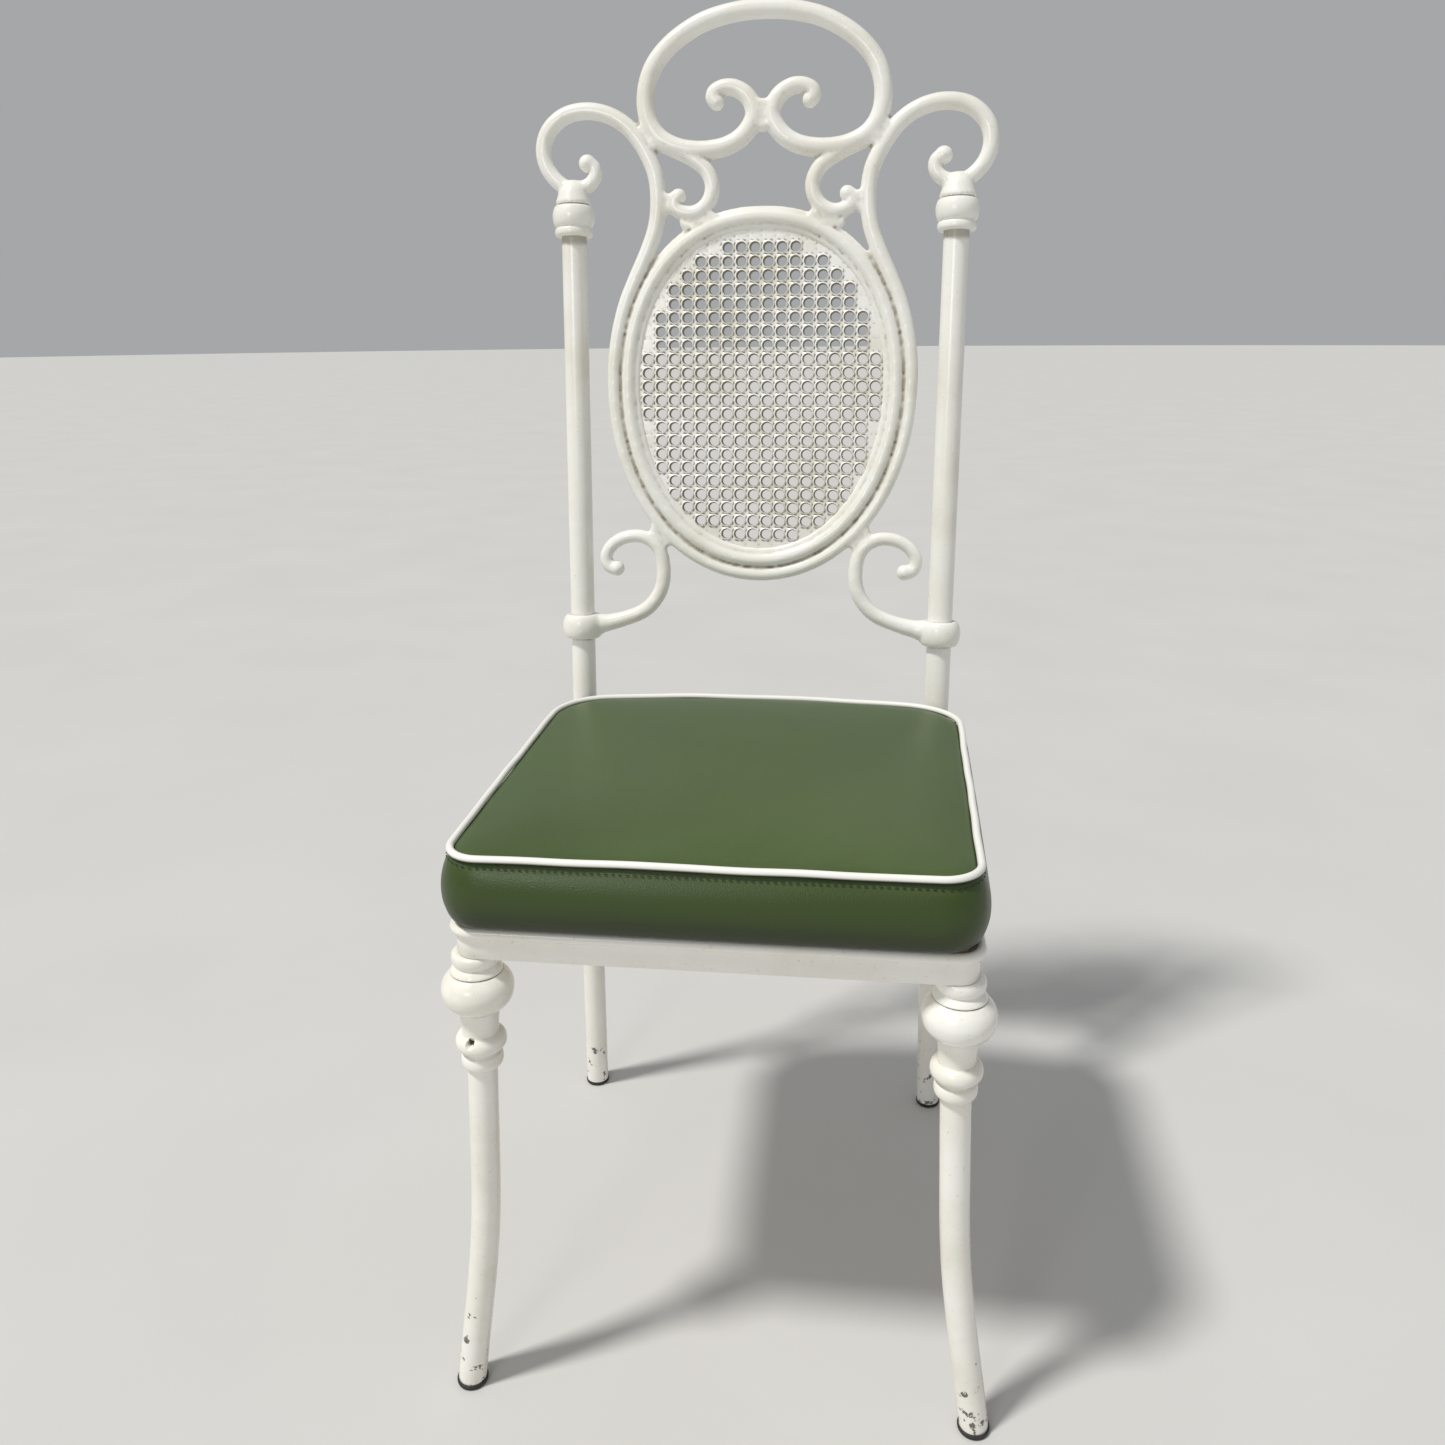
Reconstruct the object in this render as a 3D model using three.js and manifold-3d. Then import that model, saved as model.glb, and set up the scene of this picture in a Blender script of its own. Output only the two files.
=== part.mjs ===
// An ornamental metal side chair: a cast scroll back with an oval cane-pattern panel, two bent tube posts
// that run down as the rear legs, turned and curved front legs, a steel seat frame and a boxed cushion.
// Millimetres, +Z up, the sitter faces -Y. The origin is on the floor under the middle of the chair.
// While it is built, Y is counted from the line through the two front leg axes; the last lines centre it.

import * as THREE from 'three';
import { mergeGeometries, mergeVertices } from 'three/addons/utils/BufferGeometryUtils.js';
import Module from 'manifold-3d';

const wasm = await Module();
wasm.setup();

// ---- driving dimensions --------------------------------------------------------------------------

const GAP = 0.3;                 // clearance between neighbouring pieces

const SEAT_HEIGHT = 470;         // top of the piping
const FRAME_BOTTOM = 388.4;      // lower edge of the seat frame
const FRAME_TOP = 413;           // top of the rolled lip
const FRAME_SHEET = 2;           // thickness of the frame's band and flange

const LEG_X = 172;               // front leg axis from the middle of the chair
const FRONT_CORNER_X = 169;      // centre of the front corner's arc, just inside the leg axis
const FRONT_CORNER_R = 15.5;
const REAR_CORNER_R = 52;
const REAR_CORNER_Y = 292;       // centre of the rear corner's arc
const REAR_BOW_ANGLE = THREE.MathUtils.degToRad(10);

const FRONT_TUBE_R = 11.1;
const REAR_TUBE_R = 11.6;
const TUBE_WALL = 1.5;
const FRONT_FOOT_X = 198.6;
const REAR_FOOT = [183, 400];    // x and y of the rear foot
const GLIDE_H = 4;

const EYE_X = 172.5;             // where the casting's eyes clasp the posts
const EYE_Y = 370.5;
const EYE_Z = 535;
const RAKE = THREE.MathUtils.degToRad(5.7);
const CAP_X = 175.6;             // post caps at the top of the casting
const FERRULE_FOOT = 365.5;      // heights along the raked back, counted from the eyes
const FERRULE_HEAD = 393.2;

const OVAL_CENTRE = 232;         // widest line of the oval, above the eyes
const OVAL_A = 125;              // middle of the oval's bead: half width
const OVAL_UP = 149;             // and its reach above and below the widest line
const OVAL_DOWN = 165;
const OVAL_POWER_UP = 2.15;      // both halves are a little fuller than an ellipse
const OVAL_POWER_DOWN = 2.05;
const BEAD_R = 7;
const RAIL_R = 6.4;
const RAIL_OFFSET = 13.8;        // the lyre rail runs this far outside the oval's bead
const RIM_T = 5.6;               // flat rim between bead and panel
const PANEL_OFFSET = 11.6;       // edge of the perforated panel, inside the oval's bead
const PANEL_T = 3;

const HOLE_PITCH = 12.5;
const HOLE_SIDE = 8.7;           // square window with the area of a 9.8 mm round hole
const HOLES_PER_HALF_ROW = [3, 5, 6, 7, 7, 8, 8, 8, 9, 9, 9, 9, 9, 8, 8, 8, 8, 7, 7, 6, 5, 3];
const HOLE_ROWS_MIDDLE = 223;
const HOLE_MARGIN = 1.2;         // windows stop this far inside the panel's edge
const HOLE_LEAST = 3;            // and are left out where less than this would remain

const CREST_ROD_R = 8.5;
const HOOK_ROD_R = 7.4;
const SCROLL_ROD_R = 7;

// ---- finishes ------------------------------------------------------------------------------------

const finish = (color, roughness, metalness) => ({ color, roughness, metalness });
const ENAMEL = finish(0xebe9e0, 0.35, 0.0);
const VINYL = finish(0x5c7446, 0.4, 0.0);
const PIPING = finish(0xf1f0ea, 0.4, 0.0);
const STEEL = finish(0x9a9a98, 0.4, 1.0);
const PLYWOOD = finish(0xb98f5e, 0.7, 0.0);
const FOAM = finish(0xd9cfa6, 0.9, 0.0);
const RUBBER = finish(0x1c1b1a, 0.8, 0.0);

// ---- helpers -------------------------------------------------------------------------------------

// A closed three.js geometry as a solid.
function solid(geometry) {
  const bare = geometry.index ? geometry.toNonIndexed() : geometry.clone();
  bare.deleteAttribute('normal');
  bare.deleteAttribute('uv');
  const merged = mergeVertices(bare, 1e-4);
  return new wasm.Manifold(new wasm.Mesh({
    numProp: 3,
    vertProperties: new Float32Array(merged.attributes.position.array),
    triVerts: new Uint32Array(merged.index.array),
  }));
}

// A solid back as a three.js geometry.
function geometryOf(body) {
  const mesh = body.getMesh();
  const positions = new Float32Array((mesh.vertProperties.length / mesh.numProp) * 3);
  for (let i = 0; i < positions.length / 3; i += 1) {
    for (let axis = 0; axis < 3; axis += 1) {
      positions[3 * i + axis] = mesh.vertProperties[mesh.numProp * i + axis];
    }
  }
  const geometry = new THREE.BufferGeometry();
  geometry.setAttribute('position', new THREE.BufferAttribute(positions, 3));
  geometry.setIndex(new THREE.BufferAttribute(new Uint32Array(mesh.triVerts), 1));
  return geometry;
}

// Radius of a faceted hole that clears a round piece of radius r by the gap even at its flats.
const boreFor = (r, segments = 12) => (r + GAP) / Math.cos(Math.PI / segments);

const joined = (solids) => solids.reduce((whole, next) => whole.add(next));
const cut = (body, tools) => tools.reduce((rest, tool) => rest.subtract(tool), body);

// A turned solid about the Z axis, from [radius, height] points listed upwards on the outside. With a
// bore the profile closes on itself round the hole, without one it ends on the axis.
function turned(profile, bore = 0, segments = 12) {
  const points = profile.map(([r, z]) => new THREE.Vector2(r, z));
  const low = profile[0][1];
  const high = profile[profile.length - 1][1];
  const loop = bore > 0
    ? [new THREE.Vector2(bore, low), ...points, new THREE.Vector2(bore, high), new THREE.Vector2(bore, low)]
    : [new THREE.Vector2(0, low), ...points, new THREE.Vector2(0, high)];
  return new THREE.LatheGeometry(loop, segments).rotateX(Math.PI / 2);
}

// A cylinder from one point to another.
function cylinder(radius, from, to, segments = 12) {
  const start = new THREE.Vector3(...from);
  const along = new THREE.Vector3(...to).sub(start);
  const geometry = new THREE.CylinderGeometry(radius, radius, along.length(), segments);
  geometry.translate(0, along.length() / 2, 0);
  const turn = new THREE.Quaternion().setFromUnitVectors(new THREE.Vector3(0, 1, 0), along.normalize());
  return geometry.applyQuaternion(turn).translate(...from);
}

function block(sizeX, sizeY, sizeZ, x, y, z) {
  return new THREE.BoxGeometry(sizeX, sizeY, sizeZ).translate(x, y, z);
}

// A round bar, or a tube when it has a bore, along a curve.
function bar(curve, radius, steps, bore = 0, sides = 8) {
  const section = new THREE.Shape().absarc(0, 0, radius, 0, 2 * Math.PI);
  if (bore > 0) section.holes.push(new THREE.Path().absarc(0, 0, bore, 0, 2 * Math.PI));
  return new THREE.ExtrudeGeometry(section, {
    steps, extrudePath: curve, bevelEnabled: false, curveSegments: sides / 2,
  });
}

const chair = new THREE.Group();

function piece(name, geometry, look, parent = chair) {
  const mesh = new THREE.Mesh(geometry, new THREE.MeshStandardMaterial(look));
  mesh.name = name;
  parent.add(mesh);
  return mesh;
}

const SIDES = [['left', -1], ['right', 1]];

// ---- seat outline --------------------------------------------------------------------------------

// The seat's plan: small round front corners by the legs, large rear corners, and a back edge
// bowed to meet those corners smoothly. grow moves the whole outline outwards.
function outline(grow, Kind = THREE.Shape) {
  const frontR = FRONT_CORNER_R + grow;
  const rearR = REAR_CORNER_R + grow;
  const rearX = FRONT_CORNER_X + FRONT_CORNER_R - REAR_CORNER_R;
  const bowCentreY = REAR_CORNER_Y - rearX / Math.tan(REAR_BOW_ANGLE);
  const bowR = rearR + rearX / Math.sin(REAR_BOW_ANGLE);
  const rearStop = Math.PI / 2 - REAR_BOW_ANGLE;
  const shape = new Kind();
  shape.absarc(FRONT_CORNER_X, 0, frontR, -Math.PI / 2, 0);
  shape.absarc(rearX, REAR_CORNER_Y, rearR, 0, rearStop);
  shape.absarc(0, bowCentreY, bowR, rearStop, Math.PI - rearStop);
  shape.absarc(-rearX, REAR_CORNER_Y, rearR, Math.PI - rearStop, Math.PI);
  shape.absarc(-FRONT_CORNER_X, 0, frontR, Math.PI, 1.5 * Math.PI);
  shape.closePath();
  return shape;
}

// A slab of that outline, or a ring of it when inner is given, from z0 to z1.
function slab(grow, z0, z1, inner = null, bevel = 0) {
  const shape = outline(grow);
  if (inner !== null) shape.holes.push(outline(inner, THREE.Path));
  const geometry = new THREE.ExtrudeGeometry(shape, {
    depth: z1 - z0 - 2 * bevel, curveSegments: 3, bevelEnabled: bevel > 0,
    bevelSize: bevel, bevelThickness: bevel, bevelSegments: 1,
  });
  return geometry.translate(0, 0, z0 + bevel);
}

// ---- seat frame, corner plates and board ---------------------------------------------------------

const FLANGE_TOP = 405;
const FLANGE_REACH = 20;
const BOARD_TOP = FRAME_TOP + 1;
const LIP_BEVEL = 3;
const PLATE_T = 3;
const PLATE_REACH = 46;
const BOARD_SCREWS = [[0, 0], [0, 330], [-172, 150], [172, 150]];
const SCREW_R = 2.2;
const REAR_CORNER_X = FRONT_CORNER_X + FRONT_CORNER_R - REAR_CORNER_R;

// The bolt that ties a post to the frame runs level from the post to the middle of the rear corner's arc.
const POST_BOLT_Z = 397.2;
const POST_BOLT_R = 3;
const KNEE_Z = 436;
const POST_TOP = FERRULE_FOOT + 14;

// The post's distance from the middle of the chair, by height along the raked back.
const postX = (s) => THREE.MathUtils.lerp(EYE_X, CAP_X, s / POST_TOP);

function postPoint(side, z) {
  const kneeX = postX((KNEE_Z - EYE_Z) / Math.cos(RAKE));
  const kneeY = EYE_Y - (EYE_Z - KNEE_Z) * Math.tan(RAKE);
  const t = z / KNEE_Z;
  return [side * THREE.MathUtils.lerp(REAR_FOOT[0], kneeX, t), THREE.MathUtils.lerp(REAR_FOOT[1], kneeY, t), z];
}

// A point on the post bolt's line, so far outside the centre of the rear corner's arc.
function postBoltPoint(side, distance) {
  const post = postPoint(side, POST_BOLT_Z);
  const dx = post[0] - side * REAR_CORNER_X;
  const dy = post[1] - REAR_CORNER_Y;
  const length = Math.hypot(dx, dy);
  return [side * REAR_CORNER_X + (dx * distance) / length, REAR_CORNER_Y + (dy * distance) / length, POST_BOLT_Z];
}

function postBoltReach(side) {
  const post = postPoint(side, POST_BOLT_Z);
  return Math.hypot(post[0] - side * REAR_CORNER_X, post[1] - REAR_CORNER_Y);
}

function seatFrame() {
  const band = slab(0, FRAME_BOTTOM, FRAME_TOP - LIP_BEVEL, -FRAME_SHEET);
  const lip = slab(0.5, FRAME_TOP - 7, FRAME_TOP, -3, LIP_BEVEL);
  const flange = slab(-FRAME_SHEET / 2, FLANGE_TOP - FRAME_SHEET, FLANGE_TOP, -FLANGE_REACH);
  const screwHoles = BOARD_SCREWS.map(([x, y]) =>
    solid(cylinder(SCREW_R + GAP, [x, y, FLANGE_TOP - 10], [x, y, FLANGE_TOP + 5], 8)));
  const boltHoles = SIDES.map(([, side]) => solid(cylinder(
    POST_BOLT_R + GAP, postBoltPoint(side, REAR_CORNER_R - 12), postBoltPoint(side, REAR_CORNER_R + 12), 8)));
  return cut(joined([band, lip, flange].map(solid)), [...screwHoles, ...boltHoles]);
}

// A plate that fills one corner of the frame: the outline inside the band, within reach of a corner point.
function cornerPlate(x, y, reach, holeR) {
  const inside = solid(slab(-FRAME_SHEET - GAP, FRAME_BOTTOM, FRAME_BOTTOM + PLATE_T));
  const reachDisc = solid(cylinder(reach, [x, y, FRAME_BOTTOM - 1], [x, y, FRAME_BOTTOM + PLATE_T + 1], 24));
  const plate = inside.intersect(reachDisc);
  if (!holeR) return plate;
  return cut(plate, [solid(cylinder(holeR, [x, y, FRAME_BOTTOM - 1], [x, y, FRAME_BOTTOM + PLATE_T + 1], 12))]);
}

function seatBoard() {
  const holes = BOARD_SCREWS.map(([x, y]) =>
    solid(cylinder(SCREW_R + GAP, [x, y, FLANGE_TOP - 1], [x, y, FLANGE_TOP + 7.5], 8)));
  return cut(solid(slab(-7.5, FLANGE_TOP + GAP, BOARD_TOP)), holes);
}

function boardScrew(x, y) {
  const headFace = FLANGE_TOP - FRAME_SHEET - GAP;
  return turned([[3.6, headFace - 2.4], [4.2, headFace], [SCREW_R, headFace], [SCREW_R, FLANGE_TOP + 6.5]], 0, 8).translate(x, y, 0);
}

piece('seat_frame', geometryOf(seatFrame()), ENAMEL);
for (const [label, side] of SIDES) {
  piece(`${label}_front_corner_plate`, geometryOf(cornerPlate(side * LEG_X, 0, PLATE_REACH, 4.4)), ENAMEL);
  piece(`${label}_rear_corner_plate`,
    geometryOf(cornerPlate(side * (REAR_CORNER_X + 30), REAR_CORNER_Y + 30, PLATE_REACH, 0)), ENAMEL);
}
piece('seat_board', geometryOf(seatBoard()), PLYWOOD);
['front', 'rear', 'left', 'right'].forEach((place, i) => {
  piece(`${place}_board_screw`, boardScrew(...BOARD_SCREWS[i]), STEEL);
});

// ---- cushion: foam, vinyl cover with boxing, and the piping in the rabbet round its top ------------

const PIPING_R = 3;
const COVER_GROW = 6.5;          // boxing stands out this far from the frame's face
const COVER_WALL = 1.8;
const COVER_TOP = SEAT_HEIGHT + 3;
const RABBET_GROW = -2;          // top panel of the cover, inside the piping
const RABBET_Z = SEAT_HEIGHT - 2 * PIPING_R - GAP;
const FOAM_BASE = BOARD_TOP + GAP;

function coverSolid() {
  const boxing = solid(slab(COVER_GROW, FRAME_TOP + GAP, RABBET_Z));
  const topPanel = solid(slab(RABBET_GROW, RABBET_Z - 5, COVER_TOP));
  const hollow = solid(slab(COVER_GROW - COVER_WALL, FRAME_TOP - 5, RABBET_Z - COVER_WALL));
  const topHollow = solid(slab(RABBET_GROW - COVER_WALL, RABBET_Z - 8, COVER_TOP - COVER_WALL));
  return cut(boxing.add(topPanel), [hollow, topHollow]);
}

function foamSolid() {
  const block1 = slab(COVER_GROW - COVER_WALL - GAP, FOAM_BASE, RABBET_Z - COVER_WALL - GAP);
  const crown = slab(RABBET_GROW - COVER_WALL - GAP, RABBET_Z - 12, COVER_TOP - COVER_WALL - GAP);
  return solid(block1).add(solid(crown));
}

piece('seat_foam', geometryOf(foamSolid()), FOAM);
piece('seat_cover', geometryOf(coverSolid()), VINYL);
piece('seat_piping', slab(RABBET_GROW + GAP + 2 * PIPING_R - 1.5, SEAT_HEIGHT - 2 * PIPING_R, SEAT_HEIGHT,
  RABBET_GROW + GAP + 1.5, 1.5), PIPING);

// ---- front legs ----------------------------------------------------------------------------------

// Turned pieces threaded on the tube, as [radius, height] from bottom to top.
const LEG_BORE = boreFor(FRONT_TUBE_R);
const COLLAR = [[18.6, 372.3], [18.7, 374], [16, 378], [17.6, 382], [17.3, 386.5], [15.6, 388.1]];
const BALL = [[15, 341.4], [21.2, 345.4], [25.1, 351.5], [26.3, 358.5], [24.9, 364.8], [21, 369.6], [16, 372]];
const CUP = [[13.6, 308.4], [18, 311], [18.7, 314.8], [17.6, 319], [13.6, 321.8], [13.5, 331], [15.3, 338.4],
  [15.1, 341.1]];
const RING = [[13.2, 294.2], [15.3, 297.6], [15.3, 302.4], [13.4, 308.1]];
const TUBE_TOP = 384;
const SET_SCREW_R = 2.6;

// The tube: straight behind the turned pieces, then curving outwards like a sabre.
function legCurve(side) {
  const points = [[172, TUBE_TOP], [172, 330], [172.4, 296], [174.6, 230], [176.4, 185], [179.2, 146],
    [183.6, 108], [188.8, 71], [194.2, 34], [FRONT_FOOT_X, 0]];
  return new THREE.CatmullRomCurve3(points.map(([x, z]) => new THREE.Vector3(side * x, 0, z)));
}

const floorBlock = () => solid(block(500, 700, 40, 0, 200, GLIDE_H + GAP - 20));

function legTube(side) {
  return cut(solid(bar(legCurve(side), FRONT_TUBE_R, 13, FRONT_TUBE_R - TUBE_WALL, 12)), [floorBlock()]);
}

// The cup's set screw hole faces forwards on the left leg and backwards on the right one.
function legCup(side) {
  const body = solid(turned(CUP, LEG_BORE));
  return body.subtract(solid(cylinder(SET_SCREW_R, [0, 0, 316], [0, side * 30, 316], 8)));
}

function legPlug() {
  const body = solid(turned([[FRONT_TUBE_R - TUBE_WALL - GAP, 350], [FRONT_TUBE_R - TUBE_WALL - GAP, TUBE_TOP]]));
  return body.subtract(solid(cylinder(4.4, [0, 0, 356], [0, 0, TUBE_TOP + 1], 12)));
}

function legBolt() {
  const headBase = FRAME_BOTTOM + PLATE_T + GAP;
  const head = new THREE.CylinderGeometry(7.5, 7.5, 5.3, 6).rotateX(Math.PI / 2).translate(0, 0, headBase + 2.65);
  return solid(head).add(solid(cylinder(4, [0, 0, 358], [0, 0, headBase + 2], 12)));
}

// A foot glide: a flat disc on the floor with a stem that pushes up into the tube.
function glide(x, y, radius, lean) {
  const stem = cylinder(5.5, [x, y, 1], [x + lean[0] * 13, y + lean[1] * 13, 14], 10);
  const disc = turned([[radius - 0.8, 0], [radius, 1], [radius, GLIDE_H]]).translate(x, y, 0);
  return solid(disc).add(solid(stem));
}

for (const [label, side] of SIDES) {
  const leg = new THREE.Group();
  leg.position.set(side * LEG_X, 0, 0);
  chair.add(leg);
  piece(`${label}_front_leg_tube`, geometryOf(legTube(side)), ENAMEL);
  piece(`${label}_leg_collar`, turned(COLLAR, LEG_BORE), ENAMEL, leg);
  piece(`${label}_leg_ball`, turned(BALL, LEG_BORE), ENAMEL, leg);
  piece(`${label}_leg_cup`, geometryOf(legCup(side)), ENAMEL, leg);
  piece(`${label}_leg_ring`, turned(RING, LEG_BORE), ENAMEL, leg);
  piece(`${label}_leg_plug`, geometryOf(legPlug()), STEEL, leg);
  piece(`${label}_leg_bolt`, geometryOf(legBolt()), STEEL, leg);
  const foot = glide(side * (FRONT_FOOT_X - 0.3), 0, 11.9, [-side * 0.14, 0]);
  piece(`${label}_front_glide`, geometryOf(foot), RUBBER);
}

// ---- posts: rear legs and back stiles in one bent tube --------------------------------------------

const RISE = [0, Math.sin(RAKE), Math.cos(RAKE)];

// A point on the raked plane of the back: x, and the distance up the plane from the eyes.
const onBack = (x, s) => [x, EYE_Y + s * RISE[1], EYE_Z + s * RISE[2]];

function postCurve(side) {
  const corner = new THREE.Vector3(...postPoint(side, KNEE_Z));
  const foot = new THREE.Vector3(...postPoint(side, 0));
  const top = new THREE.Vector3(...onBack(side * CAP_X, POST_TOP));
  const bendStart = corner.clone().lerp(foot, 0.06);
  const bendEnd = corner.clone().lerp(top, 0.06);
  const path = new THREE.CurvePath();
  path.add(new THREE.LineCurve3(foot, bendStart));
  path.add(new THREE.QuadraticBezierCurve3(bendStart, corner, bendEnd));
  path.add(new THREE.LineCurve3(bendEnd, top));
  return path;
}

function post(side) {
  const tube = solid(bar(postCurve(side), REAR_TUBE_R, 9, REAR_TUBE_R - TUBE_WALL, 12));
  const boltHole = solid(cylinder(POST_BOLT_R + GAP, postBoltPoint(side, REAR_CORNER_R),
    postBoltPoint(side, postBoltReach(side) + 20), 8));
  return cut(tube, [floorBlock(), boltHole]);
}

// Spacer sleeve between frame and post, and the bolt that passes through both, with its nut.
function postSpacer(side) {
  const inner = postBoltPoint(side, REAR_CORNER_R + 0.8);
  const outer = postBoltPoint(side, postBoltReach(side));
  const sleeve = solid(cylinder(6, inner, outer, 12));
  const hole = solid(cylinder(POST_BOLT_R + GAP, postBoltPoint(side, REAR_CORNER_R - 5),
    postBoltPoint(side, postBoltReach(side) + 5), 8));
  const seat = solid(bar(postCurve(side), boreFor(REAR_TUBE_R), 9, 0, 12));
  return cut(sleeve, [hole, seat]);
}

function postBolt(side) {
  const reach = postBoltReach(side);
  const headFace = reach + REAR_TUBE_R + 0.8;
  const nutFace = REAR_CORNER_R - FRAME_SHEET - 1;
  const shank = cylinder(POST_BOLT_R, postBoltPoint(side, nutFace - 8), postBoltPoint(side, headFace + 1), 10);
  const head = cylinder(5.5, postBoltPoint(side, headFace), postBoltPoint(side, headFace + 3), 10);
  const nut = cylinder(5.2, postBoltPoint(side, nutFace - 5), postBoltPoint(side, nutFace), 6);
  return joined([shank, head, nut].map(solid));
}

const FERRULE = [[15.2, FERRULE_FOOT], [17.4, 367], [17.7, 371.2], [16.4, 373.4], [17.8, 374.8], [19.4, 379],
  [19.8, 384], [19.2, 389], [17.4, FERRULE_HEAD]];

// The ferrule sits over the top of the tube and carries the stud that the casting is screwed down on.
function ferrule() {
  const body = solid(turned(FERRULE));
  const socket = cylinder(boreFor(REAR_TUBE_R) + 0.1, [0, 0, FERRULE_FOOT - 5], [0, 0, POST_TOP + 1]);
  const studHole = cylinder(4.3, [0, 0, POST_TOP], [0, 0, FERRULE_HEAD + 2], 12);
  return cut(body, [solid(socket), solid(studHole)]);
}

for (const [label, side] of SIDES) {
  piece(`${label}_post`, geometryOf(post(side)), ENAMEL);
  piece(`${label}_post_spacer`, geometryOf(postSpacer(side)), ENAMEL);
  piece(`${label}_post_bolt`, geometryOf(postBolt(side)), STEEL);
  const lean = [0, -(REAR_FOOT[1] - postPoint(side, 100)[1]) / 100];
  piece(`${label}_rear_glide`, geometryOf(glide(side * REAR_FOOT[0], REAR_FOOT[1], 12.4, lean)), RUBBER);
}

// ---- the raked back ------------------------------------------------------------------------------

// Everything below is drawn in the back's own frame: x across, z up the plane from the eyes, y through it.
const back = new THREE.Group();
back.position.set(0, EYE_Y, EYE_Z);
back.rotation.x = -RAKE;
chair.add(back);

const flat = ([x, s]) => new THREE.Vector3(x, 0, s);
const mirror = (points) => points.map(([x, s]) => [-x, s]);
const spline = (points) => new THREE.CatmullRomCurve3(points.map(flat));

// Right half of the crest rod, from the tip of the inner curl round to the top.
const CREST_HALF = [[39, 478.5], [44.5, 482], [44.5, 489], [37.5, 495.2], [27.5, 495.2], [17, 489], [10, 479],
  [8.2, 467], [17, 453], [32.5, 444], [54.5, 440.8], [77, 443.4], [95, 452], [104.5, 466], [107.2, 486],
  [101.5, 509], [86, 528.8], [58, 546.8], [30, 555]];
const CREST_TOP = [[0, 557.6]];

// Right hook and lyre rail, from the tip of the small curl, over the hook and down to the oval's widest
// line, where the oval's own frame takes the rail on.
const HOOK = [[162, 430.5], [155.5, 427], [154.4, 420], [159, 412.6], [167.5, 408.8], [176, 407.5], [187, 412.5],
  [198.5, 425], [203, 441], [199, 457.5], [184, 471.5], [163, 476], [142, 472], [124.5, 461.5], [109.5, 443],
  [99, 421], [96, 397.5], [98.5, 373], [106.5, 350.5], [116.5, 329], [126.5, 306], [133.8, 280], [137.8, 254],
  [138.8, 232], [138.7, 227]];

const C_SCROLL = [[102.5, 449.5], [84, 442], [65, 433], [51, 422], [45.6, 406.5], [51.5, 391.5], [65.5, 384.5],
  [80, 389.5], [80.5, 398.5], [76.5, 400.5]];

const LOWER_SCROLL = [[137, 56.5], [144.5, 57.5], [148.8, 66.5], [143.8, 78], [129.3, 87], [111, 87.4], [97, 77],
  [92, 55], [95.5, 35], [109.2, 18.5], [133, 8.8], [157.4, 3.5], [EYE_X, 0]];

// The oval is two half superellipses; this is a point at an angle from its right end, grown outwards.
function ovalPoint(angle, grow) {
  const c = Math.cos(angle);
  const s = Math.sin(angle);
  const power = 2 / (s > 0 ? OVAL_POWER_UP : OVAL_POWER_DOWN);
  const reach = (s > 0 ? OVAL_UP : OVAL_DOWN) + grow;
  return [
    (OVAL_A + grow) * Math.sign(c) * Math.abs(c) ** power,
    OVAL_CENTRE + reach * Math.sign(s) * Math.abs(s) ** power,
  ];
}

function ovalHalfWidth(s, grow) {
  const power = s > OVAL_CENTRE ? OVAL_POWER_UP : OVAL_POWER_DOWN;
  const reach = (s > OVAL_CENTRE ? OVAL_UP : OVAL_DOWN) + grow;
  return (OVAL_A + grow) * (1 - (Math.abs(s - OVAL_CENTRE) / reach) ** power) ** (1 / power);
}

function ovalArc(from, to, grow, count) {
  return Array.from({ length: count + 1 }, (_, i) => ovalPoint(from + ((to - from) * i) / count, grow));
}

// Section of the oval's frame: flat rim, bead and, under the oval, the lyre rail that runs on round it.
// Its first coordinate goes through the back, its second outwards from the middle of the bead.
function frameSection(beadR, withRail) {
  const ring = (middle, r, degrees) => degrees.map((a) => {
    const angle = THREE.MathUtils.degToRad(a);
    return [r * Math.sin(angle), middle + r * Math.cos(angle)];
  });
  const front = [[RIM_T / 2, -PANEL_OFFSET - 1], [RIM_T / 2, -beadR + 0.5], ...ring(0, beadR, [135, 90, 45])];
  if (withRail) front.push([2.2, beadR], ...ring(RAIL_OFFSET, RAIL_R, [135, 90, 45]));
  const edge = withRail ? [[0, RAIL_OFFSET + RAIL_R]] : [[0, beadR]];
  const rear = front.map(([t, w]) => [-t, w]).reverse();
  return new THREE.Shape([...front, ...edge, ...rear].map(([t, w]) => new THREE.Vector2(t, w)));
}

// Half of the oval's frame; the two halves lap a little at the widest line.
function ovalHalf(from, section) {
  const extrudePath = spline(ovalArc(from - 0.02, from + Math.PI + 0.02, 0, 14));
  return new THREE.ExtrudeGeometry(section, { steps: 20, extrudePath, bevelEnabled: false });
}

function ovalShape(grow) {
  return new THREE.Shape(ovalArc(0, 2 * Math.PI, grow, 48).slice(0, -1).map(([x, s]) => new THREE.Vector2(x, s)));
}

function ovalPlate(grow, thickness) {
  const plate = new THREE.ExtrudeGeometry(ovalShape(grow), { depth: thickness, bevelEnabled: false });
  return plate.rotateX(Math.PI / 2).translate(0, thickness / 2, 0);
}

const ball = ([x, s], radius) => new THREE.SphereGeometry(radius, 8, 5).translate(x, 0, s);

// Cap over a post: a flared foot with a waist, running up into the hook.
const CAP = [[17, 393.5], [17.1, 395.4], [15.6, 399], [14.6, 402.5], [13, 408], [8, 412]];

// Eye round a post, cut through by the post itself.
const EYE = [[15, -12.6], [18.4, -9], [19.6, -1], [18.4, 7], [15.5, 12.2]];

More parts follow.
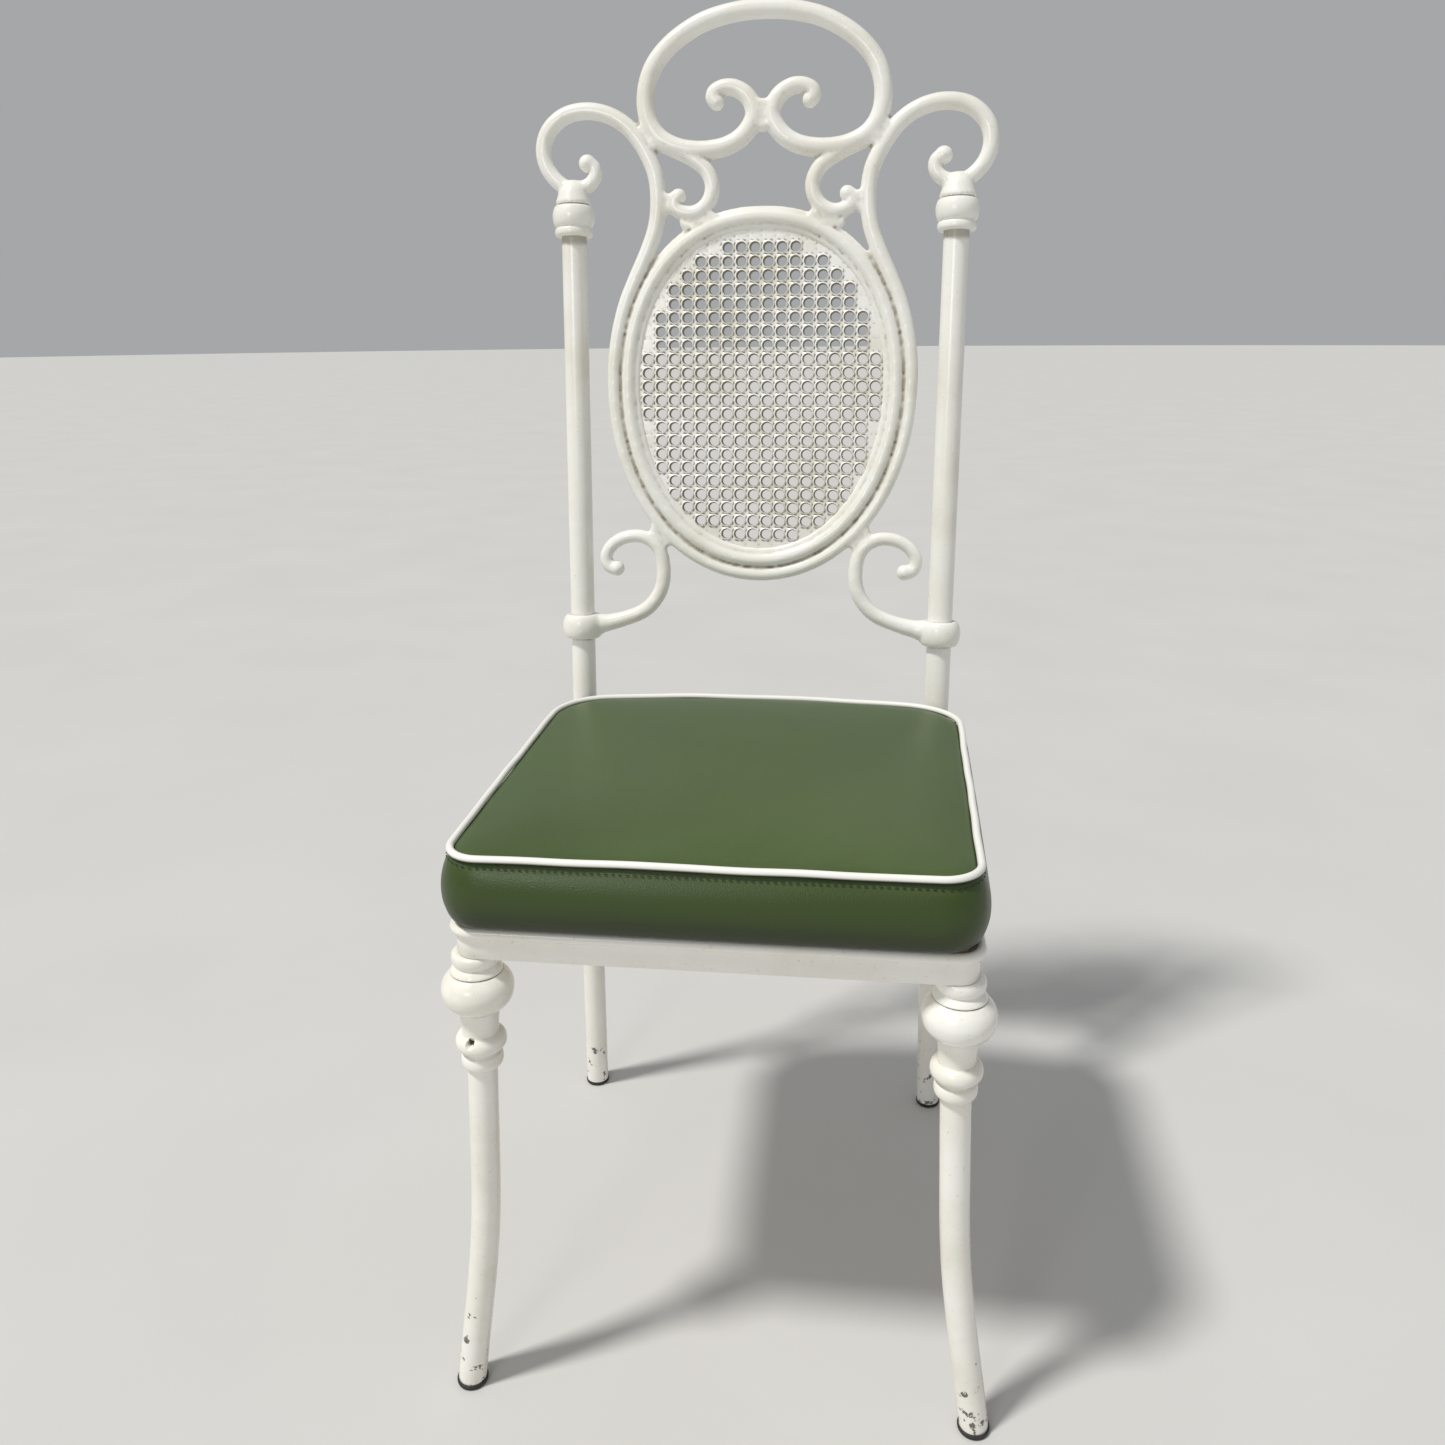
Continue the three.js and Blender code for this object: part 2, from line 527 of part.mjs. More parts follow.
// Flat webs that fill the crotch where two rods pass close: centre and radius.
const WEBS = [[[92.5, 86], 9], [[103, 455], 7], [[88, 393], 8], [[60, 380], 7]];
const WEB_T = 9;

const STUD_R = 4;
const STUD_SINK = 10;
const EYE_SCREW_R = 2.6;

function casting() {
  const rods = [
    bar(spline([...CREST_HALF, ...CREST_TOP, ...mirror(CREST_HALF).reverse()]), CREST_ROD_R, 54),
    ovalHalf(0, frameSection(BEAD_R - 0.1, false)),
    ovalHalf(Math.PI, frameSection(BEAD_R, true)),
  ];
  for (const [, side] of SIDES) {
    const place = side > 0 ? (points) => points : mirror;
    rods.push(bar(spline(place(HOOK)), HOOK_ROD_R, 34));
    rods.push(bar(spline(place(C_SCROLL)), SCROLL_ROD_R, 15, 0, 6));
    rods.push(bar(spline(place(LOWER_SCROLL)), SCROLL_ROD_R, 22, 0, 6));
    for (const [points, radius] of [[CREST_HALF, 8.8], [HOOK, 8.4], [C_SCROLL, 7.4], [LOWER_SCROLL, 8]]) {
      rods.push(ball(place(points)[0], radius));
    }
    for (const [[x, s], radius] of WEBS) {
      rods.push(cylinder(radius, [side * x, -WEB_T / 2, s], [side * x, WEB_T / 2, s], 10));
    }
    rods.push(turned(CAP).translate(side * CAP_X, 0, 0));
    rods.push(turned(EYE).translate(side * EYE_X, 0, 0));
  }
  const pocket = ovalPlate(-PANEL_OFFSET, 3 * RIM_T);
  const holes = SIDES.flatMap(([, side]) => [
    cylinder(boreFor(REAR_TUBE_R), [side * postX(-20), 0, -20], [side * postX(20), 0, 20]),
    cylinder(STUD_R + GAP, [side * CAP_X, 0, 390], [side * CAP_X, 0, FERRULE_HEAD + STUD_SINK + 1], 12),
    cylinder(EYE_SCREW_R + GAP, [side * EYE_X, 0, 0], [side * EYE_X, 30, 0], 8),
  ]);
  return cut(joined(rods.map(solid)), [pocket, ...holes].map(solid));
}

function canePanel() {
  const grow = -PANEL_OFFSET - GAP;
  const half = HOLE_SIDE / 2;
  const windows = [];
  HOLES_PER_HALF_ROW.forEach((count, row) => {
    const s = HOLE_ROWS_MIDDLE + ((HOLES_PER_HALF_ROW.length - 1) / 2 - row) * HOLE_PITCH;
    const limit = Math.min(ovalHalfWidth(s - half, grow), ovalHalfWidth(s + half, grow)) - HOLE_MARGIN;
    for (let k = -count; k < count; k += 1) {
      const x0 = Math.max((k + 0.5) * HOLE_PITCH - half, -limit);
      const x1 = Math.min((k + 0.5) * HOLE_PITCH + half, limit);
      if (x1 - x0 < HOLE_LEAST) continue;
      windows.push(block(x1 - x0, 3 * PANEL_T, HOLE_SIDE, (x0 + x1) / 2, 0, s));
    }
  });
  return geometryOf(solid(ovalPlate(grow, PANEL_T)).subtract(solid(mergeGeometries(windows))));
}

piece('back_casting', geometryOf(casting()), ENAMEL, back);
piece('cane_panel', canePanel(), ENAMEL, back);
for (const [label, side] of SIDES) {
  piece(`${label}_ferrule`, geometryOf(ferrule().translate([side * CAP_X, 0, 0])), ENAMEL, back);
  piece(`${label}_cap_stud`, cylinder(STUD_R, [side * CAP_X, 0, POST_TOP + GAP],
    [side * CAP_X, 0, FERRULE_HEAD + STUD_SINK], 12), STEEL, back);
  piece(`${label}_eye_screw`, cylinder(EYE_SCREW_R, [side * EYE_X, REAR_TUBE_R + 2 * GAP, 0],
    [side * EYE_X, 19, 0], 8), STEEL, back);
}

// ---- centre the chair over the origin --------------------------------------------------------------

chair.updateMatrixWorld(true);
const middle = new THREE.Box3().setFromObject(chair, true).getCenter(new THREE.Vector3());
chair.position.set(-middle.x, -middle.y, 0);

export default chair;
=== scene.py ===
# %% [markdown]
# # An ornamental metal side chair
# This lesson dresses a finished CAD chair for its portrait. The chair has a cast scroll back with an oval,
# cane-pattern panel, two bent tube posts that are also the rear legs, two turned front legs, a steel seat
# frame and a green vinyl cushion with white piping. The CAD gives every place and size. Blender adds what
# CAD leaves plain: round sections, cast fillets, a stuffed cushion, paint, dirt and grain.

import bpy
import numpy as np
from mathutils import Matrix, Vector


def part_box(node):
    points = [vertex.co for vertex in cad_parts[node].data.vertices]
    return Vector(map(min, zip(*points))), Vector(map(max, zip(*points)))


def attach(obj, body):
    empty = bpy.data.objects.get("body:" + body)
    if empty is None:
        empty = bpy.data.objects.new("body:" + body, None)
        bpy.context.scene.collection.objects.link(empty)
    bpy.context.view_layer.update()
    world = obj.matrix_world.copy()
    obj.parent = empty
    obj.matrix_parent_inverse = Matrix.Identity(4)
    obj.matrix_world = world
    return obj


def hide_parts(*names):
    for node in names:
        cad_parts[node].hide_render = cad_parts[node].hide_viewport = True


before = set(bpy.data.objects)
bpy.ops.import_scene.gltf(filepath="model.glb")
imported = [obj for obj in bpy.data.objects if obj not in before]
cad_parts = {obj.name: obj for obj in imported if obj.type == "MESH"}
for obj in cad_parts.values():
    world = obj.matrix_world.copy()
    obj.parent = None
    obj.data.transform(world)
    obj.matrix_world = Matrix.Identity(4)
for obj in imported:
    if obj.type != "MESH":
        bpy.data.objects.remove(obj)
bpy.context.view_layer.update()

# %% [markdown]
# ## Where things are
# Lengths in this lesson are millimetres, and they become metres when a mesh is made. The front legs' axis,
# the feet and the seat's levels come from the CAD boxes. The back is a flat casting that leans backwards,
# so it is drawn on its own plane: x across, s up the plane from the two eyes that clasp the posts, and
# d through the plane.

# %% Places read from the CAD
MM = 0.001


def box_mm(node):
    low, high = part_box(node)
    return np.array(low) / MM, np.array(high) / MM


def middle_mm(node):
    low, high = box_mm(node)
    return (low + high) / 2


LEG_X, LEG_Y, _ = middle_mm("right_leg_ball")
FRONT_FOOT = middle_mm("right_front_glide")
REAR_FOOT = middle_mm("right_rear_glide")
FRAME_BOTTOM = box_mm("seat_frame")[0][2]
FRAME_TOP = box_mm("seat_frame")[1][2]
PIPING_LOW = box_mm("seat_piping")[0][2]
RAKE = np.radians(5.7)
EYE = np.array([172.5, LEG_Y + 370.5, 535.0])
CAP_X = 175.6
POST_TOP = 379.5
print(f"leg axis x {LEG_X:.1f} y {LEG_Y:.1f}, frame {FRAME_BOTTOM:.1f} to {FRAME_TOP:.1f} mm")


def on_back(points):
    """Turns (x, d, s) on the raked back into chair coordinates: y = eye + d cos(rake) + s sin(rake),
    z = eye - d sin(rake) + s cos(rake)."""
    x, d, s = np.moveaxis(np.asarray(points, float), -1, 0)
    y = EYE[1] + d * np.cos(RAKE) + s * np.sin(RAKE)
    z = EYE[2] - d * np.sin(RAKE) + s * np.cos(RAKE)
    return np.stack([x, y, z], -1)


# %% [markdown]
# ## Three ways to make a surface
# Almost every part of this chair is one of three shapes: a round rod that follows a curve, a turned shape
# that spins round an axis, or a section carried round the seat. Each is a grid of points worked out in one
# go, and one helper skins such a grid with four-sided faces.

# %% Smooth curves
def smooth_path(points, step):
    """Centripetal Catmull-Rom curve. Between two points it is a cubic, whose slopes come from the
    neighbours and whose knots are spaced by the square root of the distance. The result is resampled
    to one point about every `step` millimetres."""
    p = np.asarray(points, float)
    p = np.vstack([2 * p[0] - p[1], p, 2 * p[-1] - p[-2]])
    knot = np.concatenate([[0], np.cumsum(np.linalg.norm(np.diff(p, axis=0), axis=1) ** 0.5)])
    gap = np.diff(knot)[:, None]
    rate = np.diff(p, axis=0) / gap
    slope = (rate[:-1] * gap[1:] + rate[1:] * gap[:-1]) / (gap[:-1] + gap[1:])
    t = np.linspace(0, 1, 24, endpoint=False)[None, :, None]
    a, b = p[1:-2, None], p[2:-1, None]
    ma, mb = (slope[:-1] * gap[1:-1])[:, None], (slope[1:] * gap[1:-1])[:, None]
    curve = (2 * t**3 - 3 * t**2 + 1) * a + (t**3 - 2 * t**2 + t) * ma
    curve = curve + (3 * t**2 - 2 * t**3) * b + (t**3 - t**2) * mb
    return even_path(np.vstack([curve.reshape(-1, p.shape[1]), p[-2]]), step)


def even_path(points, step):
    """The same line with its points evenly spaced along its length."""
    along = np.concatenate([[0], np.cumsum(np.linalg.norm(np.diff(points, axis=0), axis=1))])
    places = np.linspace(0, along[-1], max(2, int(round(along[-1] / step)) + 1))
    return np.stack([np.interp(places, along, column) for column in points.T], -1)


print("a smooth corner:", len(smooth_path([[0, 0], [50, 0], [50, 50]], 5.0)), "points")


# %% Grids of faces
def skin(rings, wrap=False):
    """Four-sided faces over a grid of closed rings. The end rings are closed with one face each, or
    with wrap the last ring joins the first."""
    count, sides = rings.shape[:2]
    i = np.arange(count if wrap else count - 1)[:, None]
    j = np.arange(sides)[None, :]
    here, right = i * sides, (i + 1) % count * sides
    next_j = (j + 1) % sides
    faces = np.stack([here + j, here + next_j, right + next_j, right + j], -1).reshape(-1, 4).tolist()
    if not wrap:
        faces.append(list(range(sides))[::-1])
        faces.append(list(range((count - 1) * sides, count * sides)))
    return rings.reshape(-1, 3), faces


def joined(parts):
    """Several surfaces as one list of points and faces."""
    points, faces, start = [], [], 0
    for part_points, part_faces in parts:
        points.append(part_points)
        faces += [[start + v for v in face] for face in part_faces]
        start += len(part_points)
    return np.vstack(points), faces


print("faces on three rings of four points:", len(skin(np.zeros((3, 4, 3)))[1]))


# %% A rod along a curve
def rod(path, radius, sides=20, across=(0, 1, 0), wrap=False, domes=True):
    """Round bar: p(i, a) = path(i) + radius(i) (cos a n + sin a b). b is `across` made square to the
    path, and n is square to both. The ends may be domes: rings that step on by r sin f with radius
    r cos f."""
    path = np.asarray(path, float)
    radius = np.broadcast_to(np.asarray(radius, float), len(path))
    if wrap:
        tangent = np.roll(path, -1, 0) - np.roll(path, 1, 0)
    else:
        tangent = np.gradient(path, axis=0)
    tangent /= np.linalg.norm(tangent, axis=1)[:, None]
    if domes and not wrap:
        dome = np.radians([84, 66, 45, 22])
        count = len(dome)
        first = path[0] - tangent[0] * radius[0] * np.sin(dome)[:, None]
        last = path[-1] + tangent[-1] * radius[-1] * np.sin(dome[::-1])[:, None]
        radius = np.concatenate([radius[0] * np.cos(dome), radius, radius[-1] * np.cos(dome[::-1])])
        path = np.vstack([first, path, last])
        first, last = np.repeat(tangent[:1], count, 0), np.repeat(tangent[-1:], count, 0)
        tangent = np.vstack([first, tangent, last])
    b = np.asarray(across, float) - tangent * (tangent @ np.asarray(across, float))[:, None]
    b /= np.linalg.norm(b, axis=1)[:, None]
    n = np.cross(b, tangent)
    angle = np.linspace(0, 2 * np.pi, sides, endpoint=False)
    ring = np.cos(angle)[None, :, None] * n[:, None] + np.sin(angle)[None, :, None] * b[:, None]
    return skin(path[:, None] + radius[:, None, None] * ring, wrap)


print("a straight rod:", len(rod([[0, 0, 0], [0, 0, 50]], 5.0)[1]), "faces")


# %% A turned shape
def turned(profile, segments=64, step=0.7, smooth=True):
    """Surface of revolution: (r cos a, r sin a, z) for a profile of (r, z) points listed upwards, rounded
    into a smooth curve first."""
    line = smooth_path(profile, step) if smooth else np.asarray(profile, float)
    angle = np.linspace(0, 2 * np.pi, segments, endpoint=False)[None, :]
    r, z = line[:, :1], line[:, 1:]
    return skin(np.stack([r * np.cos(angle), r * np.sin(angle), z + 0 * angle], -1))


def placed(part, x=0.0, y=0.0, z=0.0):
    points, faces = part
    return points + np.array([x, y, z]), faces


print("a turned drum:", len(turned([[8, 0], [10, 5], [8, 10]])[1]), "faces")


# %% [markdown]
# ## From arrays to Blender objects
# A mesh is filled from the arrays, smoothed, and given an attribute named hollow, which says how deep in
# a crease each point lies. Dust and old grease gather in creases, so the paint reads that attribute; it
# also paints shade with it in the cushion's seam, the cane panel's pits and the set screw's hole.
# Working it out from the mesh is quick.

# %% How hollow a surface is
def hollowness(mesh, rounds):
    """For each point, the mean over its edges of normal . direction to the neighbour: above zero in a
    crease, below zero on a ridge. Averaging over neighbours `rounds` times spreads it out."""
    co = np.empty(len(mesh.vertices) * 3)
    normal = np.empty(len(mesh.vertices) * 3)
    edge = np.empty(len(mesh.edges) * 2, int)
    mesh.vertices.foreach_get("co", co)
    mesh.vertices.foreach_get("normal", normal)
    mesh.edges.foreach_get("vertices", edge)
    co, normal, edge = co.reshape(-1, 3), normal.reshape(-1, 3), edge.reshape(-1, 2)
    way = co[edge[:, 1]] - co[edge[:, 0]]
    long = np.linalg.norm(way, axis=1) + 1e-9
    bend = np.zeros(len(co))
    degree = np.bincount(edge.ravel(), minlength=len(co)) + 1e-9
    for end, sign in ((0, 1), (1, -1)):
        lean = sign * np.einsum("ij,ij->i", normal[edge[:, end]], way) / long**2
        bend += np.bincount(edge[:, end], lean, len(co))
    bend = bend / degree * MM
    for _ in range(rounds):
        total = np.bincount(edge[:, 0], bend[edge[:, 1]], len(co))
        total += np.bincount(edge[:, 1], bend[edge[:, 0]], len(co))
        bend = 0.5 * bend + 0.5 * total / degree
    return bend


# %% Making and finishing pieces
def point_array(mesh):
    co = np.empty(len(mesh.vertices) * 3)
    mesh.vertices.foreach_get("co", co)
    return co.reshape(-1, 3)


def mark(mesh, name, values):
    layer = mesh.attributes.new(name, "FLOAT", "POINT")
    layer.data.foreach_set("value", np.clip(values, -1, 2).astype(np.float32))


def finish_piece(piece, replaces, material, hollow=(0.0, 0.12), rounds=4, sharp=None, darkening=None):
    """Smooth shading, crease attribute, material and the frame's bookkeeping. hollow gives the two
    curvatures that count as open surface and as deep crease; a function of points in mm, given as the last
    argument, adds dirt, dark seams and painted shade by place."""
    mesh = piece.data
    mesh.shade_smooth()
    if sharp is not None:
        mesh.set_sharp_from_angle(angle=np.radians(sharp))
    if "hollow" not in mesh.attributes:
        low, high = hollow
        depth = (hollowness(mesh, rounds) - low) / (high - low)
        if darkening is not None:
            depth = np.maximum(depth, darkening(point_array(mesh) / MM))
        mark(mesh, "hollow", depth)
    mesh.materials.clear()
    mesh.materials.append(material)
    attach(piece, "root")
    if replaces:
        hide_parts(*replaces)
    mesh.calc_loop_triangles()
    print(f"{piece.name}: {len(mesh.vertices)} points, {len(mesh.loop_triangles)} triangles")
    return piece


def new_object(name, part):
    points, faces = part
    mesh = bpy.data.meshes.new(name)
    mesh.from_pydata((np.asarray(points) * MM).tolist(), [], faces)
    mesh.validate()
    piece = bpy.data.objects.new(name, mesh)
    bpy.context.scene.collection.objects.link(piece)
    return piece


def applied(piece):
    """The piece with its modifiers made part of its mesh."""
    graph = bpy.context.evaluated_depsgraph_get()
    mesh = bpy.data.meshes.new_from_object(piece.evaluated_get(graph), depsgraph=graph)
    piece.modifiers.clear()
    piece.data = mesh
    return piece


# %% [markdown]
# ## The camera
# The chair is seen from a little over eight hundred millimetres up, slightly right of its middle and
# looking down, as a person bending towards it would see it. The lens is wider than normal, because the
# camera stands close. A small shift slides the frame on the lens without turning the camera, so the
# perspective stays as it is.

# %% The camera
def look_from(position, yaw, pitch, roll):
    """A camera turned by yaw to the left and pitch downwards, then rolled about its own axis."""
    yaw, pitch, roll = np.radians([yaw, pitch, roll])
    forward = Vector((-np.sin(yaw) * np.cos(pitch), np.cos(yaw) * np.cos(pitch), -np.sin(pitch)))
    right = Vector((np.cos(yaw), np.sin(yaw), 0))
    up = right.cross(forward)
    right, up = (right * np.cos(roll) + up * np.sin(roll), up * np.cos(roll) - right * np.sin(roll))
    turn = Matrix((right, up, -forward)).transposed().to_4x4()
    return Matrix.Translation(Vector(position) * MM) @ turn


SENSOR_WIDTH = 36.0
FOCAL_LENGTH = 29.85
camera_data = bpy.data.cameras.new("camera")
camera_data.sensor_width = SENSOR_WIDTH
camera_data.lens = FOCAL_LENGTH
camera_data.shift_x = 0.0035
camera_data.shift_y = -0.0504
camera = bpy.data.objects.new("camera", camera_data)
camera.matrix_world = look_from((96.8, LEG_Y - 748.3, 821.8), yaw=6.963, pitch=15.311, roll=-0.488)
bpy.context.scene.collection.objects.link(camera)
bpy.context.scene.camera = camera
print("camera at", [round(c, 3) for c in camera.location])

# %% [markdown]
# ## Node groups for age and grain
# A shader node group is a small machine with named inputs and outputs. The enamel on the casting, the
# tubes and the frame all age in the same way, so one group holds that ageing and each material sets its
# own amounts. Groups here give out only colours, masks and heights, and each material keeps its own shader.

# %% A hand for wiring nodes
class Wiring:
    """Adds nodes to one tree: each call makes a node, sets or links its inputs and returns an output."""

    def __init__(self, tree):
        self.tree = tree

    def node(self, kind, inputs=None, output=0, **settings):
        made = self.tree.nodes.new(kind)
        for name, value in settings.items():
            setattr(made, name, value)
        for name, value in (inputs or {}).items():
            if isinstance(value, bpy.types.NodeSocket):
                self.tree.links.new(value, made.inputs[name])
            else:
                made.inputs[name].default_value = value
        return made.outputs[output]

    def math(self, operation, a, b=0.0, clamp=False):
        return self.node("ShaderNodeMath", {0: a, 1: b}, operation=operation, use_clamp=clamp)

    def noise(self, vector, scale, detail=3.0, roughness=0.5):
        inputs = {"Vector": vector, "Scale": scale, "Detail": detail, "Roughness": roughness}
        return self.node("ShaderNodeTexNoise", inputs)

    def ramp(self, value, low, high):
        """0 below low, 1 above high, with an eased step between."""
        inputs = {"Value": value, "From Min": low, "From Max": high}
        return self.node("ShaderNodeMapRange", inputs, interpolation_type="SMOOTHSTEP")

    def mix(self, factor, a, b, blend="MIX"):
        made = self.tree.nodes.new("ShaderNodeMix")
        made.data_type = "RGBA"
        made.blend_type = blend
        for socket, value in ((made.inputs[0], factor), (made.inputs[6], a), (made.inputs[7], b)):
            if isinstance(value, bpy.types.NodeSocket):
                self.tree.links.new(value, socket)
            else:
                socket.default_value = value
        return made.outputs[2]


# %% New groups and materials
def new_group(name, inputs, outputs):
    """A node group with its sockets declared through the tree's interface."""
    tree = bpy.data.node_groups.new(name, "ShaderNodeTree")
    for label, kind, value in inputs:
        socket = tree.interface.new_socket(label, in_out="INPUT", socket_type="NodeSocket" + kind)
        if value is not None:
            socket.default_value = value
    for label, kind in outputs:
        tree.interface.new_socket(label, in_out="OUTPUT", socket_type="NodeSocket" + kind)
    entry = tree.nodes.new("NodeGroupInput")
    leave = tree.nodes.new("NodeGroupOutput")
    return Wiring(tree), entry.outputs, leave.inputs


def new_material(name):
    """A material with an empty tree but for its shader and output."""
    material = bpy.data.materials.new(name)
    material.use_nodes = True
    wiring = Wiring(material.node_tree)
    shader = material.node_tree.nodes["Principled BSDF"]
    coordinates = wiring.node("ShaderNodeTexCoord", output="Object")
    return material, wiring, shader, coordinates


# %% [markdown]
# ## Worn white enamel
# The chair was painted thickly, more than once, and has stood outdoors. Close up the paint has a soft
# orange-peel skin, yellow-grey dirt in every crease, faint blotches, and small chips that show dark
# metal, most of them low on the legs. One noise drives the blotches, one the chips and one the skin.

# %% The ageing group
WARM_PAINT = (0.80, 0.775, 0.69, 1)
DIRT_AND_SHADE_BROWN = (0.2, 0.165, 0.1, 1)
BLACK_PIT_SHADE = (0.035, 0.028, 0.015, 1)
BARE_METAL = (0.07, 0.055, 0.045, 1)


def ageing_group():
    """Dirt and shade is the largest of three masks: creases, a thin film in blotches, and specks. The
    crease mask is mostly dirt, and painted shade where the hollow attribute carries it, in the cane panel's
    pits and holes;
    the deepest hollows, such as the set screw's hole, are painted near-black shade. Chips are where one
    noise passes a threshold that falls towards the floor. The height is paint skin less the chips."""
    wiring, given, out = new_group(
        "aged_enamel",
        [("Vector", "Vector", None), ("Hollow", "Float", 0.0), ("Paint", "Color", (0.85, 0.84, 0.79, 1)),
         ("Dirt And Shade", "Color", DIRT_AND_SHADE_BROWN), ("Dirt And Shade Amount", "Float", 0.7),
         ("Chip Amount", "Float", 0.3), ("Chip Height", "Float", 0.25)],
        [("Color", "Color"), ("Roughness", "Float"), ("Height", "Float")])
    vector = given["Vector"]
    blotch = wiring.noise(vector, 14.0, 4.0, 0.6)
    fine = wiring.noise(vector, 160.0, 3.0, 0.6)
    skin_noise = wiring.noise(vector, 700.0, 2.0, 0.5)
    ragged = wiring.math("MULTIPLY", wiring.math("SUBTRACT", fine, 0.5), 0.7)
    depth = wiring.math("ADD", given["Hollow"], ragged)
    # the crease mask is dirt, and painted shade where the hollow attribute carries it
    crease = wiring.math("MULTIPLY", wiring.ramp(depth, 0.4, 1.2), given["Dirt And Shade Amount"])
    film = wiring.math("MULTIPLY", wiring.ramp(blotch, 0.5, 0.8), 0.10)
    speck_noise = wiring.noise(vector, 420.0, 1.0, 0.5)
    speck = wiring.math("MULTIPLY", wiring.ramp(speck_noise, 0.69, 0.76), 0.25)
    dirt_and_shade = wiring.math("MAXIMUM", wiring.math("MAXIMUM", crease, film), speck)
    warm = wiring.mix(wiring.ramp(blotch, 0.35, 0.7), given["Paint"], WARM_PAINT)
    painted = wiring.mix(dirt_and_shade, warm, given["Dirt And Shade"])
    # painted shade: near-black where the hollow value passes 1.5, in the set screw's hole and the deepest
    # creases
    painted = wiring.mix(wiring.ramp(given["Hollow"], 1.5, 1.9), painted, BLACK_PIT_SHADE)
    height_z = wiring.node("ShaderNodeSeparateXYZ", {"Vector": vector}, output="Z")
    low_down = wiring.math("SUBTRACT", 1.0, wiring.ramp(height_z, 0.0, given["Chip Height"]), clamp=True)
    chip_noise = wiring.noise(vector, 95.0, 5.0, 0.65)
    edge = wiring.math("SUBTRACT", 0.76, wiring.math("MULTIPLY", low_down, 0.19))
    chip = wiring.node("ShaderNodeMapRange", {"Value": chip_noise, "From Min": edge,
                                              "From Max": wiring.math("ADD", edge, 0.015)})
    chip = wiring.math("MULTIPLY", chip, given["Chip Amount"], clamp=True)
    wiring.tree.links.new(wiring.mix(chip, painted, BARE_METAL), out["Color"])
    rough = wiring.math("ADD", 0.27, wiring.math("MULTIPLY", wiring.math("MAXIMUM", dirt_and_shade, chip), 0.5))
    wiring.tree.links.new(rough, out["Roughness"])
    peel = wiring.math("MULTIPLY", skin_noise, 0.10)
    sag = wiring.math("MULTIPLY", wiring.noise(vector, 90.0, 2.0, 0.5), 0.35)
    height = wiring.math("SUBTRACT", wiring.math("ADD", peel, sag), wiring.math("MULTIPLY", chip, 0.5))
    wiring.tree.links.new(height, out["Height"])
    return wiring.tree


AGEING = ageing_group()
print("ageing group:", len(AGEING.nodes), "nodes")


# %% Five enamels from one group
def enamel(name, paint=(0.86, 0.85, 0.80, 1), dirt_and_shade_amount=0.75, chips=0.6, chip_height=0.12):
    """One enamel material: the ageing group feeding a glossy shader and a shallow bump."""
    material, wiring, shader, coordinates = new_material(name)
    group = material.node_tree.nodes.new("ShaderNodeGroup")
    group.node_tree = AGEING
    hollow = wiring.node("ShaderNodeAttribute", output="Fac", attribute_name="hollow")
    wiring.tree.links.new(coordinates, group.inputs["Vector"])
    wiring.tree.links.new(hollow, group.inputs["Hollow"])
    group.inputs["Paint"].default_value = paint
    group.inputs["Dirt And Shade Amount"].default_value = dirt_and_shade_amount
    group.inputs["Chip Amount"].default_value = chips
    group.inputs["Chip Height"].default_value = chip_height
    normal = wiring.node("ShaderNodeBump", {"Height": group.outputs["Height"], "Strength": 0.35,
                                            "Distance": 0.0008})
    wiring.tree.links.new(group.outputs["Color"], shader.inputs["Base Color"])
    wiring.tree.links.new(group.outputs["Roughness"], shader.inputs["Roughness"])
    wiring.tree.links.new(normal, shader.inputs["Normal"])
    shader.inputs["Coat Weight"].default_value = 0.25
    shader.inputs["Coat Roughness"].default_value = 0.2
    return material


CAST_ENAMEL = enamel("cast_enamel")
TUBE_ENAMEL = enamel("tube_enamel", dirt_and_shade_amount=0.6, chips=0.9, chip_height=0.16)
TURNED_ENAMEL = enamel("turned_enamel", dirt_and_shade_amount=0.85)
FRAME_ENAMEL = enamel("frame_enamel", paint=(0.84, 0.825, 0.77, 1), dirt_and_shade_amount=0.6)
PANEL_ENAMEL = enamel("panel_enamel", paint=(0.90, 0.89, 0.86, 1), dirt_and_shade_amount=0.92)
print("enamels:", [m.name for m in bpy.data.materials])

# %% [markdown]
# ## The cast back: its lines
# The back is one casting. A pattern maker would bend rods of wax into scrolls and melt them together, so
# the scrolls are drawn as centre lines here. Each line is a few points that the curve passes through, on
# the right half only, because the left half is its mirror image. The oval is two half superellipses.

# %% Centre lines of the scrolls
CREST = [[41.5, 479.8], [45.8, 483], [44.8, 488.5], [37.5, 492.4], [27.5, 492.6], [16.8, 487.2], [10, 478],
         [8.2, 467], [17, 452.2], [32.5, 442.8], [54.5, 439.4], [77, 442.2], [95, 451.6], [104.5, 466],
         [107.2, 486], [101.5, 509], [86, 528.8], [58, 546.8], [30, 555], [0, 557.6]]
HOOK = [[162, 430.5], [155.5, 427], [154.4, 420], [159, 412.6], [167.5, 408.8], [176, 407.5],
        [187, 412.5], [198.5, 425], [203, 441], [199, 457.5], [184, 471.5], [163, 476], [142, 472],
        [124.5, 461.5], [109.5, 443], [99, 421], [96, 397.5], [98.5, 373], [106.5, 350.5], [116.5, 329],
        [126.5, 306], [133.8, 280], [137.8, 254]]
SMALL_SCROLL = [[102.5, 449.5], [84, 442], [65, 433], [51, 422], [45.6, 406.5], [51.5, 391.5],
                [65.5, 384.5], [80, 389.5], [80.5, 398.5], [76.5, 400.5]]
